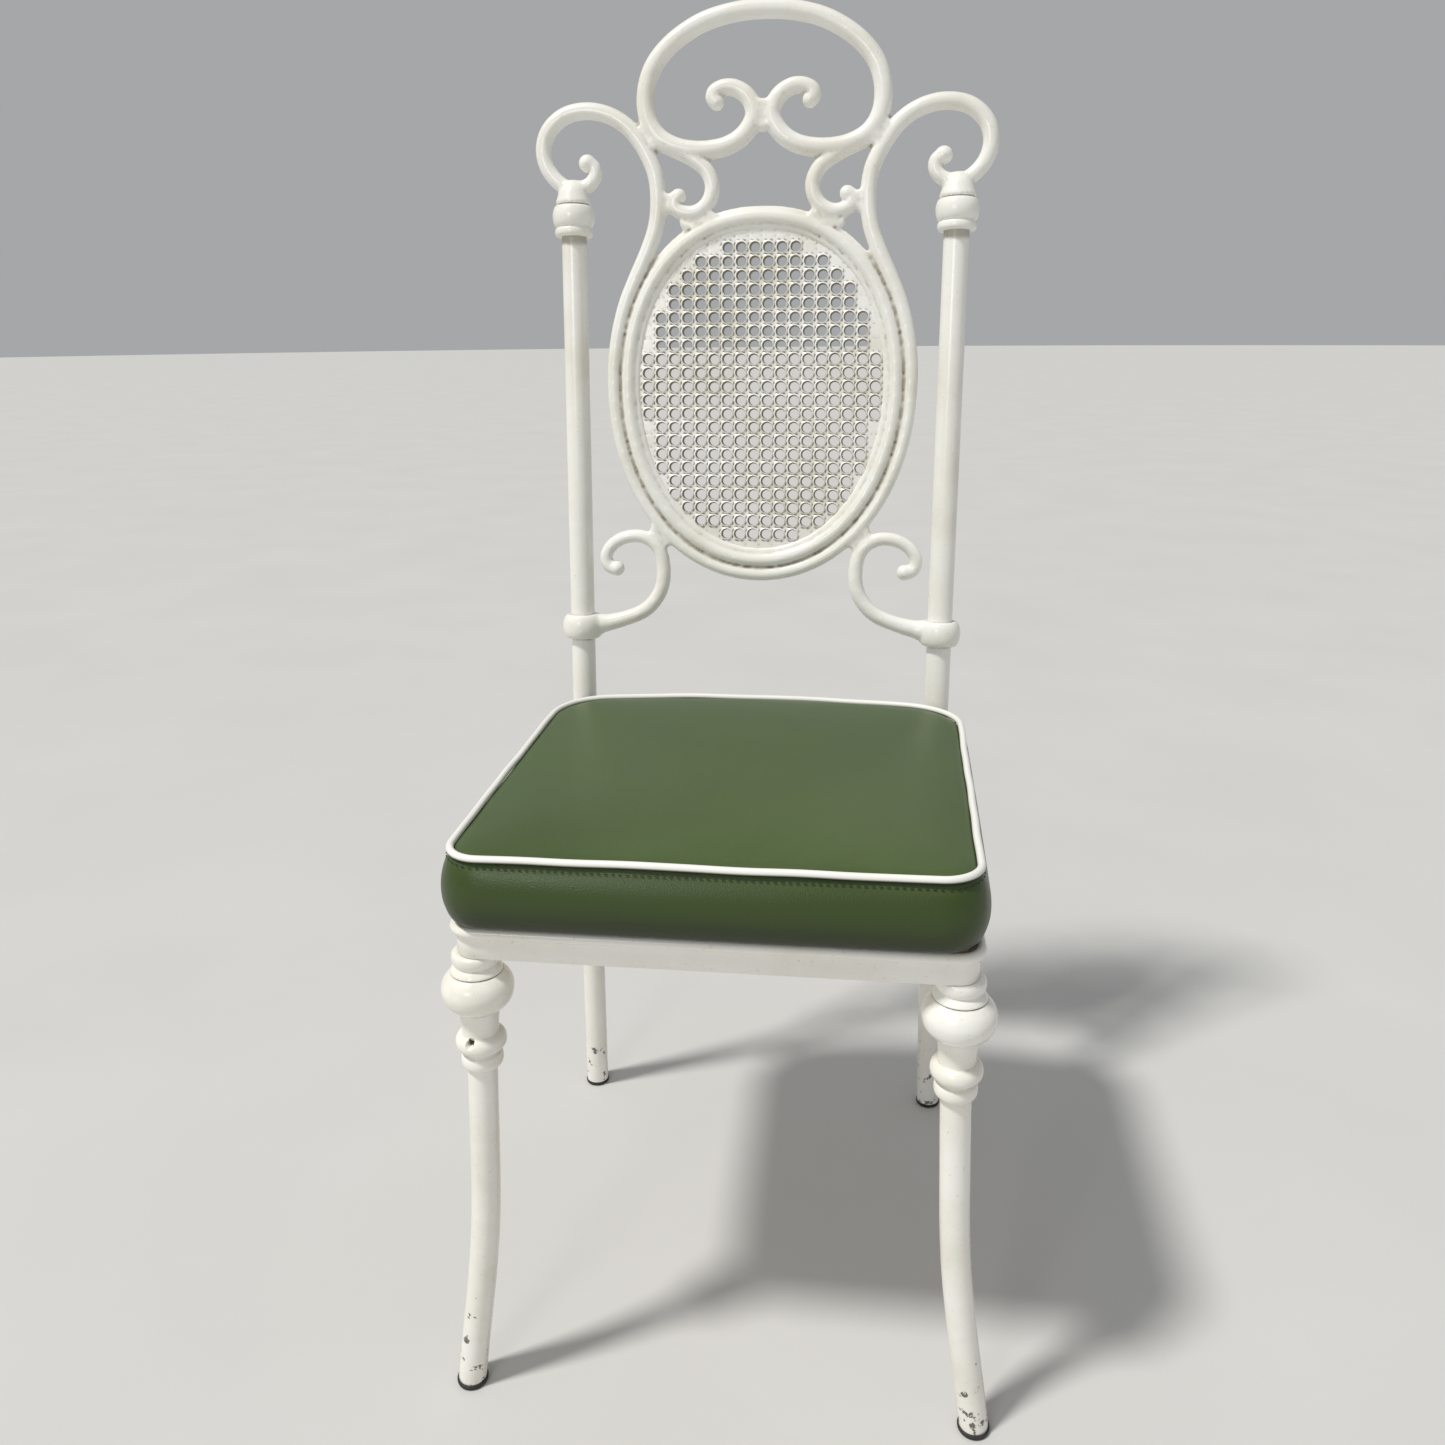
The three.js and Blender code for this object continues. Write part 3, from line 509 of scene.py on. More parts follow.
LOWER_SCROLL = [[137, 56.5], [144.5, 57.5], [148.8, 66.5], [143.8, 78], [129.3, 87], [111, 87.4],
                [97, 77], [92, 55], [95.5, 35], [109.2, 17.5], [133, 7], [155, 2], [172.5, 0]]

# %% The oval, and paths on the back
OVAL_CENTRE, OVAL_HALF_WIDTH = 232.0, 125.0
OVAL_UP, OVAL_DOWN = 149.0, 165.0
POWER_UP, POWER_DOWN = 2.15, 2.05
RAIL_OFFSET = 13.8


def oval(angle, grow):
    """Point of the oval at an angle from its right end, grown outwards: x = a sgn(c)|c|^(2/p),
    s = centre + b sgn(s)|s|^(2/p), with its own b and power p above and below the widest line."""
    c, s = np.cos(angle), np.sin(angle)
    power = 2 / np.where(s > 0, POWER_UP, POWER_DOWN)
    reach = np.where(s > 0, OVAL_UP, OVAL_DOWN) + grow
    x = (OVAL_HALF_WIDTH + grow) * np.sign(c) * np.abs(c) ** power
    return np.stack([x, OVAL_CENTRE + reach * np.sign(s) * np.abs(s) ** power], -1)


def plane_path(points, step=2.0):
    """A smooth line on the back's plane as (x, 0, s) points."""
    line = smooth_path(points, step)
    return np.stack([line[:, 0], 0 * line[:, 0], line[:, 1]], -1)


def mirrored(points):
    return [[-x, s] for x, s in points]


def with_taper(path, fractions, radii):
    """A radius for each point of a path, straight lines between the radii at given fractions."""
    return np.interp(np.linspace(0, 1, len(path)), fractions, radii)


for line in (CREST, HOOK, SMALL_SCROLL, LOWER_SCROLL):
    print("scroll line:", len(line), "drawn points,", len(plane_path(line)), "on the curve")


# %% [markdown]
# ## The cast back: one skin
# Rods that merely cross look like bent wire. A casting has small fillets where its members meet, and the
# easy way to get them is to fill the crossing rods with small cubes of space, a voxel remesh, take the
# outside of the lot, and then relax that skin a little. The relaxing rounds every crossing as sand and
# molten metal would. Flat webs fill the crotches where two rods pass close to each other.

# %% The rods
def pattern_rods():
    """The crest, the hooks with the rail that joins them, the oval rim and its bead, and the scrolls."""
    parts = []
    crest = plane_path(CREST + mirrored(CREST)[::-1][1:])
    fractions, radii = [0, 0.03, 0.1, 0.9, 0.97, 1], [6.6, 7.4, 8.6, 8.6, 7.4, 6.6]
    parts.append(rod(crest, with_taper(crest, fractions, radii)))
    under = oval(np.linspace(0, -np.pi, 15), RAIL_OFFSET).tolist()
    lyre = plane_path(HOOK + under + mirrored(HOOK)[::-1])
    side = [0, 0.02, 0.08, 0.24, 0.34]
    fractions = side + [1 - f for f in side[::-1]]
    radii = [6.4, 6.8, 7.9, 7.6, 6.4]
    parts.append(rod(lyre, with_taper(lyre, fractions, radii + radii[::-1])))
    turn = np.linspace(0, 2 * np.pi, 400, endpoint=False)
    for grow, radius in ((0, 7.0), (-8.7, 3.2)):
        line = oval(turn, grow)
        loop = np.stack([line[:, 0], 0 * turn, line[:, 1]], -1)
        parts.append(rod(loop, radius, wrap=True))
    for flip in (list, mirrored):
        small = plane_path(flip(SMALL_SCROLL))
        parts.append(rod(small, with_taper(small, [0, 0.8, 1], [7.4, 7.2, 6.4])))
        lower = plane_path(flip(LOWER_SCROLL))
        fractions, radii = [0, 0.2, 0.6, 0.8, 0.88, 0.94, 1], [6.2, 6.5, 7.2, 7.6, 8.6, 11, 12.6]
        parts.append(rod(lower, with_taper(lower, fractions, radii)))
    return parts


print("rods in the pattern:", len(pattern_rods()))


# %% Knobs, webs, post caps and eyes
def knob(x, s, radius):
    """A ball on the back's plane."""
    up = np.radians(np.linspace(-86, 86, 13))
    profile = np.stack([radius * np.cos(up), radius * np.sin(up)], -1)
    return placed(turned(profile, 20, smooth=False), x, 0, s)


def web(x, s, radius, thickness):
    """A flat round web that lies in the plane of the back."""
    path = np.array([[x, -thickness / 2, s], [x, thickness / 2, s]])
    angle = np.linspace(0, 2 * np.pi, 24, endpoint=False)
    ring = np.stack([np.cos(angle), 0 * angle, -np.sin(angle)], -1) * radius
    return skin(path[:, None] + ring[None])


WEBS = [[92.5, 86, 9, 9], [98, 95, 7, 9], [104, 459, 8, 13], [99, 449, 8, 13], [90, 395, 7.5, 11],
        [91, 388, 6, 10], [60, 377, 9, 10], [50, 380, 8, 10], [70, 376, 6, 9], [0, 474, 8, 13],
        [0, 465, 8.5, 14], [0, 459, 5, 11], [84, 443, 6, 12], [113, 336, 6, 9]]
KNOBS = [[42, 480, 7.4], [162, 430.5, 8.4], [77, 400, 7.4], [138, 56.8, 7.9]]
POST_CAP = [[16.6, 393.5], [17, 395.4], [15.6, 398.6], [14.4, 402.5], [12.8, 407], [9.5, 412], [6, 416]]
EYE_SLEEVE = [[12.3, -10.5], [14, -12.6], [16.6, -11.6], [18.9, -7], [19.8, 0], [18.9, 6.6], [16.4, 11],
              [14.2, 12.3], [13.1, 11.6], [12.7, 9]]


def casting_parts():
    """Everything that is melted together. The last part is a thin rim inside the oval: a flat section
    between an inner and an outer oval."""
    parts = pattern_rods()
    for side in (-1, 1):
        parts += [knob(side * x, s, r) for x, s, r in KNOBS]
        parts += [web(side * x, s, r, thick) for x, s, r, thick in WEBS]
        parts.append(placed(turned(POST_CAP, 48), side * CAP_X))
        parts.append(placed(turned(EYE_SLEEVE, 48), side * EYE[0]))
    turn = np.linspace(0, 2 * np.pi, 240, endpoint=False)
    inner, outer = oval(turn, -11.6), oval(turn, RAIL_OFFSET - 4)
    section = [(inner, -2.4), (inner, 2.4), (outer, 2.4), (outer, -2.4)]
    rim = np.stack([np.stack([line[:, 0], 0 * turn + d, line[:, 1]], -1) for line, d in section], 1)
    parts.append(skin(rim[::-1], wrap=True))
    return parts


# %% Melted into one skin
CASTING_VOXEL = 1.5
points, faces = joined(casting_parts())
casting = new_object("scroll_back", (on_back(points), faces))
remesh = casting.modifiers.new("remesh", "REMESH")
remesh.mode = "VOXEL"
remesh.voxel_size = CASTING_VOXEL * MM
relax = casting.modifiers.new("relax", "SMOOTH")
relax.factor = 0.5
relax.iterations = 14
finish_piece(applied(casting), ["back_casting"], CAST_ENAMEL, hollow=(-0.06, 0.06), rounds=6)

# %% [markdown]
# ## The cane-pattern panel
# Real cane webbing is woven from split rattan. This panel imitates it in cast metal: a square grid of
# round holes, each with a raised lip, and rows of small dashes where strands would cross. One cell of
# the grid is worked out as rings of sixteen points, from the cell's edge at the back, through the hole, to
# its edge at the front. All cells come from it at once by adding their centres. Cells past the oval are
# pulled under its rim.

# %% Where the cells are
PITCH = 12.5
HALF_ROWS = [3, 5, 6, 7, 7, 8, 8, 8, 9, 9, 9, 9, 9, 8, 8, 8, 8, 7, 7, 6, 5, 3]
ROWS_MIDDLE = 223.0
PANEL_EDGE = -3.0
CELL_SIDES = 16


def oval_measure(x, s, grow):
    """1 on the grown oval, less inside: the superellipse's left side to the power 1/p."""
    above = s > OVAL_CENTRE
    power = np.where(above, POWER_UP, POWER_DOWN)
    reach = np.where(above, OVAL_UP, OVAL_DOWN) + grow
    total = (np.abs(x) / (OVAL_HALF_WIDTH + grow)) ** power + (np.abs(s - OVAL_CENTRE) / reach) ** power
    return total ** (1 / power)


def panel_cells():
    """Centres of all cells that reach inside the oval, and the hole radius of each: 0 where there is
    no hole."""
    rows, columns = np.meshgrid(np.arange(-3, len(HALF_ROWS) + 3), np.arange(-10, 10), indexing="ij")
    s = ROWS_MIDDLE + ((len(HALF_ROWS) - 1) / 2 - rows) * PITCH
    x = (columns + 0.5) * PITCH
    near_x = np.maximum(np.abs(x) - PITCH / 2, 0)
    near_s = s - np.sign(s - OVAL_CENTRE) * PITCH / 2
    inside = oval_measure(near_x, near_s, -8.0) < 1
    count = np.array([0, 0, 0] + HALF_ROWS + [0, 0, 0])[rows + 3]
    has_hole = (columns >= -count) & (columns < count)
    return rows[inside], columns[inside], x[inside], s[inside], has_hole[inside]


print("holes in the panel:", int(panel_cells()[-1].sum()))


# %% One cell, three hundred times
HOLE_R = 4.9
BACK_DEPTH, FACE_DEPTH = 2.4, -1.2
# the last number of each ring sets how dark it is painted: dirt, and painted shade down the hole's wall
RINGS = [("edge", BACK_DEPTH, 0.3), (-0.6, BACK_DEPTH, 1.5), (0.0, FACE_DEPTH, 1.1), (0.35, -2.0, -0.5),
         (0.8, -1.8, -0.5), (1.0, FACE_DEPTH, 0.35), ("edge", FACE_DEPTH, 0.35)]
NO_HOLE_R = 3.0
CORE_SHIFT = np.array([0.5, -0.35])


def panel_part():
    """Each of RINGS tells how far it lies beyond the hole, its depth through the panel, and how dark it is
    painted: dirt, and painted shade down the hole's wall. The hole is cast with a slanting core, so its
    back is
    narrower and a little aside. Dashes are pressed into the cell's edge, where the darkening is strongest:
    dirt and painted shade."""
    rows, columns, x, s, has_hole = panel_cells()
    dice = np.random.default_rng(7)
    hole = np.where(has_hole, HOLE_R + dice.normal(0, 0.09, len(x)), 0.0)
    shift = np.where(has_hole[:, None], dice.normal(0, 0.12, (len(x), 2)), 0.0)
    angle = np.arange(CELL_SIDES) * 2 * np.pi / CELL_SIDES
    way = np.stack([np.cos(angle), np.sin(angle)], -1)
    edge = way / np.abs(way).max(1)[:, None] * PITCH / 2
    dash = np.where(np.isin(np.arange(CELL_SIDES) % 4, (1, 3)), 1.0, 0.0)
    rings, dirt_and_shade = [], []
    for kind, depth, dirt_and_shade_level in RINGS:
        level = np.full((len(x), CELL_SIDES), depth)
        darkening = np.full((len(x), CELL_SIDES), dirt_and_shade_level)
        if kind == "edge":
            flat = edge[None] + 0 * shift[:, None]
            if depth < 0:
                # the dashes are pressed deeper and darkened: dirt and painted shade
                level = level + (0.85 * dash - 0.25 * (1 - dash))[None]
                darkening = darkening + np.where(has_hole, 1.1, 0.4)[:, None] * dash[None]
        else:
            radius = np.where(has_hole, hole + kind, NO_HOLE_R + kind)[:, None, None]
            core_shift = CORE_SHIFT if kind < 0 else 0 * CORE_SHIFT
            flat = way[None] * radius + shift[:, None] + core_shift
            level = np.where(has_hole[:, None], level, BACK_DEPTH if depth > 0 else FACE_DEPTH)
            darkening = np.where(has_hole[:, None], darkening, 0.1)
        rings.append(np.concatenate([flat, level[..., None]], -1))
        dirt_and_shade.append(darkening)
    cell = np.stack(rings, 1)
    px = cell[..., 0] + x[:, None, None]
    ps = cell[..., 1] + s[:, None, None]
    pull = 1 / np.maximum(oval_measure(px, ps, PANEL_EDGE), 1)
    px, ps = px * pull, OVAL_CENTRE + (ps - OVAL_CENTRE) * pull
    points = np.stack([px, cell[..., 2], ps], -1)
    return points, rows, columns, has_hole, np.stack(dirt_and_shade, 1)


# %% Faces of the cells, and the panel
def panel_faces(points, rows, columns, has_hole):
    """Quads between neighbouring rings of each cell. A cell without a hole skips the hole's wall and is
    closed by one face at the back and one at the front; an outer cell gets a side wall."""
    cells, rings, sides = points.shape[:3]
    base = np.arange(cells)[:, None, None] * rings * sides
    ring = np.arange(rings - 1)[None, :, None] * sides
    j = np.arange(sides)[None, None, :]
    nxt = (j + 1) % sides
    quads = np.stack([base + ring + j, base + ring + nxt, base + ring + sides + nxt,
                      base + ring + sides + j], -1)
    keep = np.ones((cells, rings - 1), bool)
    keep[~has_hole, 1:3] = False
    faces = quads[keep].reshape(-1, 4).tolist()
    for cell in np.flatnonzero(~has_hole):
        start = cell * rings * sides
        faces.append([start + sides + k for k in range(sides)])
        faces.append([start + 3 * sides + k for k in range(sides)][::-1])
    taken = set(zip(rows.tolist(), columns.tolist()))
    last = (rings - 1) * sides
    for step_row, step_column, first in ((0, 1, 14), (-1, 0, 2), (0, -1, 6), (1, 0, 10)):
        for cell, (row, column) in enumerate(zip(rows.tolist(), columns.tolist())):
            if (row + step_row, column + step_column) in taken:
                continue
            start = cell * rings * sides
            for k in range(first, first + 4):
                a, b = k % sides, (k + 1) % sides
                faces.append([start + b, start + a, start + last + a, start + last + b])
    return faces


points, rows, columns, has_hole, dirt_and_shade = panel_part()
faces = panel_faces(points, rows, columns, has_hole)
panel = new_object("cane_pattern", (on_back(points.reshape(-1, 3)), faces))
mark(panel.data, "hollow", dirt_and_shade.ravel())


def weld(piece, distance):
    merge = piece.modifiers.new("weld", "WELD")
    merge.merge_threshold = distance * MM
    return applied(piece)


finish_piece(weld(panel, 0.02), ["cane_panel"], PANEL_ENAMEL, sharp=60)

# %% [markdown]
# ## Posts and front leg tubes
# A post is one steel tube, bent once behind the seat: below the bend it is a rear leg that slopes back,
# above it is the stile that carries the casting. The front tubes curve outwards like a sabre. Both are
# rods along a line, with many more sides than the CAD tubes have.

# %% The four tubes
KNEE_Z = 436.0
BEND_SHARE = 0.06
POST_R, LEG_R = 11.6, 11.1


def post_x(s):
    return EYE[0] + (CAP_X - EYE[0]) * s / POST_TOP


def post_line(side):
    """Two straight runs joined by a short parabola at the knee: (1-t)^2 a + 2t(1-t) k + t^2 b."""
    knee_s = (KNEE_Z - EYE[2]) / np.cos(RAKE)
    knee = np.array([side * post_x(knee_s), *on_back([[0, 0, knee_s]])[0, 1:]])
    foot = np.array([side * abs(REAR_FOOT[0]), REAR_FOOT[1], 2.0])
    top = on_back([[side * CAP_X, 0, POST_TOP]])[0]
    start, end = knee + (foot - knee) * BEND_SHARE, knee + (top - knee) * BEND_SHARE
    t = np.linspace(0, 1, 12)[:, None]
    bend = (1 - t) ** 2 * start + 2 * t * (1 - t) * knee + t**2 * end
    return even_path(np.vstack([foot, bend, top]), 3.0)


def leg_line(side):
    points = [[172, 386], [172, 330], [172.4, 296], [174.6, 230], [176.4, 185], [179.2, 146],
              [183.6, 108], [188.8, 71], [194.2, 34], [198.6, 2]]
    line = smooth_path(points, 4.0)
    return np.stack([side * line[:, 0], np.full(len(line), LEG_Y), line[:, 1]], -1)


def post_stain(points):
    """Dirt just below the ferrule and close to the eye's sleeve: it fades with the distance from each."""
    below = on_back([[0, 0, 364.0]])[0, 2] - points[:, 2]
    from_eye = np.abs(points[:, 2] - EYE[2]) - 11
    return np.maximum(1.5 - np.abs(below) / 7, 1.0 - np.abs(from_eye) / 5)


for label, side in (("left", -1), ("right", 1)):
    post = new_object(f"{label}_stile", rod(post_line(side), POST_R, 40, across=(1, 0, 0), domes=False))
    finish_piece(post, [f"{label}_post"], TUBE_ENAMEL, hollow=(0.1, 1.0), darkening=post_stain)
    leg = new_object(f"{label}_sabre_leg", rod(leg_line(side), LEG_R, 40, domes=False))
    finish_piece(leg, [f"{label}_front_leg_tube"], TUBE_ENAMEL, hollow=(0.1, 1.0))

# %% [markdown]
# ## Turned collars, balls, cups and rings
# The top of each front leg is a stack of cast pieces threaded over the tube: a collar under the seat
# frame, a ball, a waisted cup with a bead, and a small ring. Turned shapes are half profiles spun round
# an axis. The cup has a hole for a set screw, which is pressed into the grid of points as a round pit.

# %% Profiles of the leg stack
COLLAR = [[12, 388.1], [15.4, 387.9], [17.1, 386.6], [17.6, 383.2], [16.9, 379.8], [15.6, 377.6],
          [16.4, 376.6], [18.2, 374.4], [19.0, 372.3], [12, 371.9]][::-1]
BALL = [[12, 341.7], [15.8, 342.0], [20.4, 344.6], [24.2, 349.2], [26.1, 355.4], [26.2, 360.2],
        [24.6, 365.2], [21.6, 369.2], [18.6, 371.6], [12, 372]]
CUP = [[12, 308.4], [13.2, 308.5], [14, 308.8], [16.6, 309.6], [18.2, 311.8], [18.7, 314.8], [18.1, 318],
       [16.3, 320.4], [14.4, 321.4], [13.6, 321.8], [13.4, 323.2], [13.6, 328], [14.2, 334], [15, 339.6],
       [15.2, 340.9], [14.8, 341.2], [12, 341.3]]
RING = [[12, 294.2], [12.8, 294.3], [14.4, 295.3], [15.4, 298], [15.4, 301.6], [14.6, 304.4], [13.2, 305.6],
        [12.9, 306.6], [12.9, 308], [12, 308.1]]


print("leg stack from", RING[0][1], "to", COLLAR[-1][1], "mm")

# %% The set screw's hole, the dirty seams and the pieces
SCREW_Z, SCREW_R = 319.4, 2.9
SCREW_TURN = {"left": np.radians(-101), "right": np.radians(100)}


def with_pit(part, axis_angle, height, radius, depth):
    """Presses a round pit into a turned surface: points within the radius of the pit's axis move
    inwards by the depth, with a steep edge."""
    points, faces = part
    way = np.array([np.cos(axis_angle), np.sin(axis_angle), 0])
    aside = np.array([-way[1], way[0], 0])
    off = np.hypot(points @ aside, points[:, 2] - height)
    near = (points @ way > 0) & (off < radius + 1)
    push = np.clip((radius + 0.25 - off) / 0.5, 0, 1) * near
    return points - push[:, None] * way * depth, faces


def seam_dirt_and_pit_shade(points):
    """Dark lines where two turned pieces meet, and painted shade down in the set screw's hole."""
    seams = np.array([293.9, 308.2, 341.4, 371.9])
    near = np.abs(points[:, 2:] - seams).min(1)
    out = np.hypot(np.abs(points[:, 0]) - LEG_X, points[:, 1] - LEG_Y)
    in_hole = (np.abs(points[:, 2] - SCREW_Z) < SCREW_R + 0.5) & (out < 12.6)
    # painted shade: inside the set screw's hole the value 2.0 makes the enamel near-black
    return np.maximum(1.2 - near / 0.9, 2.0 * in_hole)


for label, side in (("left", -1), ("right", 1)):
    for name, profile, node in (("collar", COLLAR, "leg_collar"), ("ball", BALL, "leg_ball"),
                                ("cup", CUP, "leg_cup"), ("ring", RING, "leg_ring")):
        part = turned(profile, 240, 0.45) if name == "cup" else turned(profile, 80)
        if name == "cup":
            part = with_pit(part, SCREW_TURN[label], SCREW_Z, SCREW_R, 6.0)
        piece = new_object(f"{label}_{name}", placed(part, side * LEG_X, LEG_Y))
        finish_piece(piece, [f"{label}_{node}"], TURNED_ENAMEL, hollow=(0.02, 0.3), rounds=3,
                     darkening=seam_dirt_and_pit_shade)

# %% [markdown]
# ## Ferrules
# A ferrule closes the top of each post: a barrel with a ring under it. It leans with the back, so it is
# turned upright first and then laid on the back's plane.

# %% The ferrules
FERRULE = [[12.1, 365], [15.4, 365.2], [17.2, 367], [17.65, 369.6], [17.1, 372.2], [15.9, 373.6],
           [17.4, 374.8], [19.0, 378.6], [19.6, 384], [18.8, 389], [17.4, 392], [15.6, 392.9], [10, 393]]

for label, side in (("left", -1), ("right", 1)):
    points, faces = placed(turned(FERRULE, 72), side * CAP_X)
    ferrule = new_object(f"{label}_barrel", (on_back(points), faces))
    finish_piece(ferrule, [f"{label}_ferrule"], TURNED_ENAMEL, hollow=(0.02, 0.3), rounds=8)

# %% [markdown]
# ## The cushion's and the frame's outline
# Seat, frame and piping share one plan: small round corners at the front legs, large round corners at the
# back, and a back edge that bows gently. It is four arcs joined by straight runs. Each point of the line
# comes with its outward direction, so a section can be carried round it.

# %% The plan as points and outward directions
ARC_POINTS = 90


def plan(front_corner, front_r, rear_corner, rear_r, count, bow=10.0):
    """Arcs of the given radii about (+-x, y) corner centres, the rear pair joined by a wide bow that
    meets them tangentially. Returned as evenly spaced points and unit outward directions."""
    fx, fy = front_corner
    rx, ry = rear_corner
    bow = np.radians(bow)
    bow_r = rear_r + rx / np.sin(bow)
    bow_y = ry - rx / np.tan(bow)
    quarter = np.pi / 2
    arcs = [(fx, fy, front_r, -quarter, 0), (rx, ry, rear_r, 0, quarter - bow),
            (0, bow_y, bow_r, quarter - bow, quarter + bow), (-rx, ry, rear_r, quarter + bow, 2 * quarter),
            (-fx, fy, front_r, 2 * quarter, 3 * quarter)]
    angle = np.concatenate([np.linspace(a, b, ARC_POINTS) for *_, a, b in arcs])
    centre = np.concatenate([np.tile([[x, y]], (ARC_POINTS, 1)) for x, y, *_ in arcs])
    radius = np.concatenate([np.full(ARC_POINTS, r) for _, _, r, *_ in arcs])
    out = np.stack([np.cos(angle), np.sin(angle)], -1)
    points = centre + radius[:, None] * out
    both = np.hstack([np.vstack([points, points[:1]]), np.vstack([out, out[:1]])])
    along = np.concatenate([[0], np.cumsum(np.linalg.norm(np.diff(both[:, :2], axis=0), axis=1))])
    places = np.linspace(0, along[-1], count, endpoint=False)
    line = np.stack([np.interp(places, along, column) for column in both.T], -1)
    out = line[:, 2:] / np.linalg.norm(line[:, 2:], axis=1)[:, None]
    return line[:, :2] + np.array([0, LEG_Y]), out


# %% A section carried round the plan
def carried(section, points, out):
    """A closed section of (outward offset, z) points carried round the plan; its rings run upwards."""
    section = np.asarray(section, float)
    xy = points[:, None] + out[:, None] * section[None, :, :1]
    z = np.broadcast_to(section[None, :, 1:], (*xy.shape[:2], 1))
    return skin(np.concatenate([xy, z], -1), wrap=True)


FRAME_PLAN = dict(front_corner=(169, 0), front_r=15.5, rear_corner=(132.5, 292), rear_r=52)
print("frame width", 2 * plan(count=400, **FRAME_PLAN)[0][:, 0].max().round(1), "mm")


# %% [markdown]
# ## The seat frame
# The frame is a strip of sheet steel bent round the seat, with its upper edge rolled outwards over a
# wire, which gives the bright half-round lip. A flange inside carries the seat board. The section is
# drawn once, lip included, and carried round the plan.

# %% The seat frame
LIP_R = 3.9
SHEET, FLANGE = 2.2, 20
FLANGE_TOP = 405


def frame_section():
    """Outer face, rolled lip as an arc, and back down the inside past the flange."""
    turn = np.radians(np.linspace(-88, 130, 16))
    lip = np.stack([0.2 + LIP_R * np.cos(turn), FRAME_TOP - 4 + LIP_R * np.sin(turn)], -1)
    low = [[0, FRAME_BOTTOM + 0.6], [0, FRAME_TOP - 14], [0, FRAME_TOP - 8.4]]
    inside = [[-SHEET, FRAME_TOP - 3], [-SHEET, FLANGE_TOP], [-FLANGE, FLANGE_TOP],
              [-FLANGE, FLANGE_TOP - 2], [-SHEET, FLANGE_TOP - 2], [-SHEET, FRAME_BOTTOM + 0.4],
              [-1.6, FRAME_BOTTOM], [-0.5, FRAME_BOTTOM]]
    return np.vstack([low, lip, inside])


points, out = plan(count=420, **FRAME_PLAN)
seat_frame = new_object("seat_rim", carried(frame_section(), points, out))
finish_piece(seat_frame, ["seat_frame"], FRAME_ENAMEL, hollow=(0.02, 0.3), rounds=3, sharp=50)

# %% [markdown]
# ## Green vinyl
# Upholstery vinyl is a thin plastic skin with a fine pressed grain and a soft shine. The grain is a field
# of small cells, with wider stretch marks over it. It turns a little paler and duller on the worn top; the
# paler colour on faces that look up is partly wear and partly painted light. It is darker in the seam and
# where the boxing tucks under: that is painted shade.

# %% The grain group
def grain_group():
    wiring, given, out = new_group(
        "pressed_grain", [("Vector", "Vector", None), ("Cells", "Float", 900.0)],
        [("Height", "Float"), ("Worn", "Float")])
    cells = wiring.node("ShaderNodeTexVoronoi", {"Vector": given["Vector"], "Scale": given["Cells"]},
                        output="Distance", feature="F1")
    stretch = wiring.noise(given["Vector"], 45.0, 4.0, 0.55)
    height = wiring.math("ADD", wiring.math("MULTIPLY", cells, 0.55), wiring.math("MULTIPLY", stretch, 0.5))
    wiring.tree.links.new(height, out["Height"])
    worn = wiring.ramp(wiring.noise(given["Vector"], 7.0, 5.0, 0.6), 0.35, 0.72)
    wiring.tree.links.new(worn, out["Worn"])
    return wiring.tree


GRAIN = grain_group()


print("grain group:", len(GRAIN.nodes), "nodes")


# %% Green and white vinyl
PAINTED_SEAM_SHADE = (0.02, 0.025, 0.012, 1)
PAINTED_UNDER_SHADE = (0.008, 0.014, 0.002, 1)


def vinyl(name, colour, worn_and_lit_colour, roughness, grain):
    """The worn colour comes in on faces that look up, in soft patches: partly wear and partly painted
    light, since the top is made paler than the sides. The hollow attribute darkens the seam, and faces that
    look down get a darker colour: both are painted shade."""
    material, wiring, shader, coordinates = new_material(name)
    group = material.node_tree.nodes.new("ShaderNodeGroup")
    group.node_tree = GRAIN
    wiring.tree.links.new(coordinates, group.inputs["Vector"])
    facing = wiring.node("ShaderNodeNewGeometry", output="Normal")
    up = wiring.node("ShaderNodeSeparateXYZ", {"Vector": facing}, output="Z")
    # partly painted light: faces that look up get the paler worn colour, so the top is lighter than the
    # boxing
    top = wiring.ramp(up, 0.25, 0.95)
    patches = wiring.math("ADD", wiring.math("MULTIPLY", group.outputs["Worn"], 0.4), 0.6)
    amount = wiring.math("MULTIPLY", patches, top)
    hollow = wiring.node("ShaderNodeAttribute", output="Fac", attribute_name="hollow")
    # painted shade: the seam's crease is darkened through the hollow attribute
    seam = wiring.math("MULTIPLY", wiring.ramp(hollow, 0.1, 1.0), 0.6)
    colour = wiring.mix(amount, colour, worn_and_lit_colour)
    colour = wiring.mix(seam, colour, PAINTED_SEAM_SHADE)
    # painted shade: faces that look down are darkened, as where the boxing tucks under
    under = wiring.ramp(wiring.math("MULTIPLY", up, -1.0), -0.15, 0.7)
    colour = wiring.mix(under, colour, PAINTED_UNDER_SHADE)
    wiring.tree.links.new(colour, shader.inputs["Base Color"])
    rough = wiring.math("ADD", roughness, wiring.math("MULTIPLY", group.outputs["Worn"], 0.1))
    wiring.tree.links.new(rough, shader.inputs["Roughness"])
    normal = wiring.node("ShaderNodeBump", {"Height": group.outputs["Height"], "Strength": grain,
                                            "Distance": 0.0006})
    wiring.tree.links.new(normal, shader.inputs["Normal"])
    shader.inputs["Specular IOR Level"].default_value = 0.42
    return material


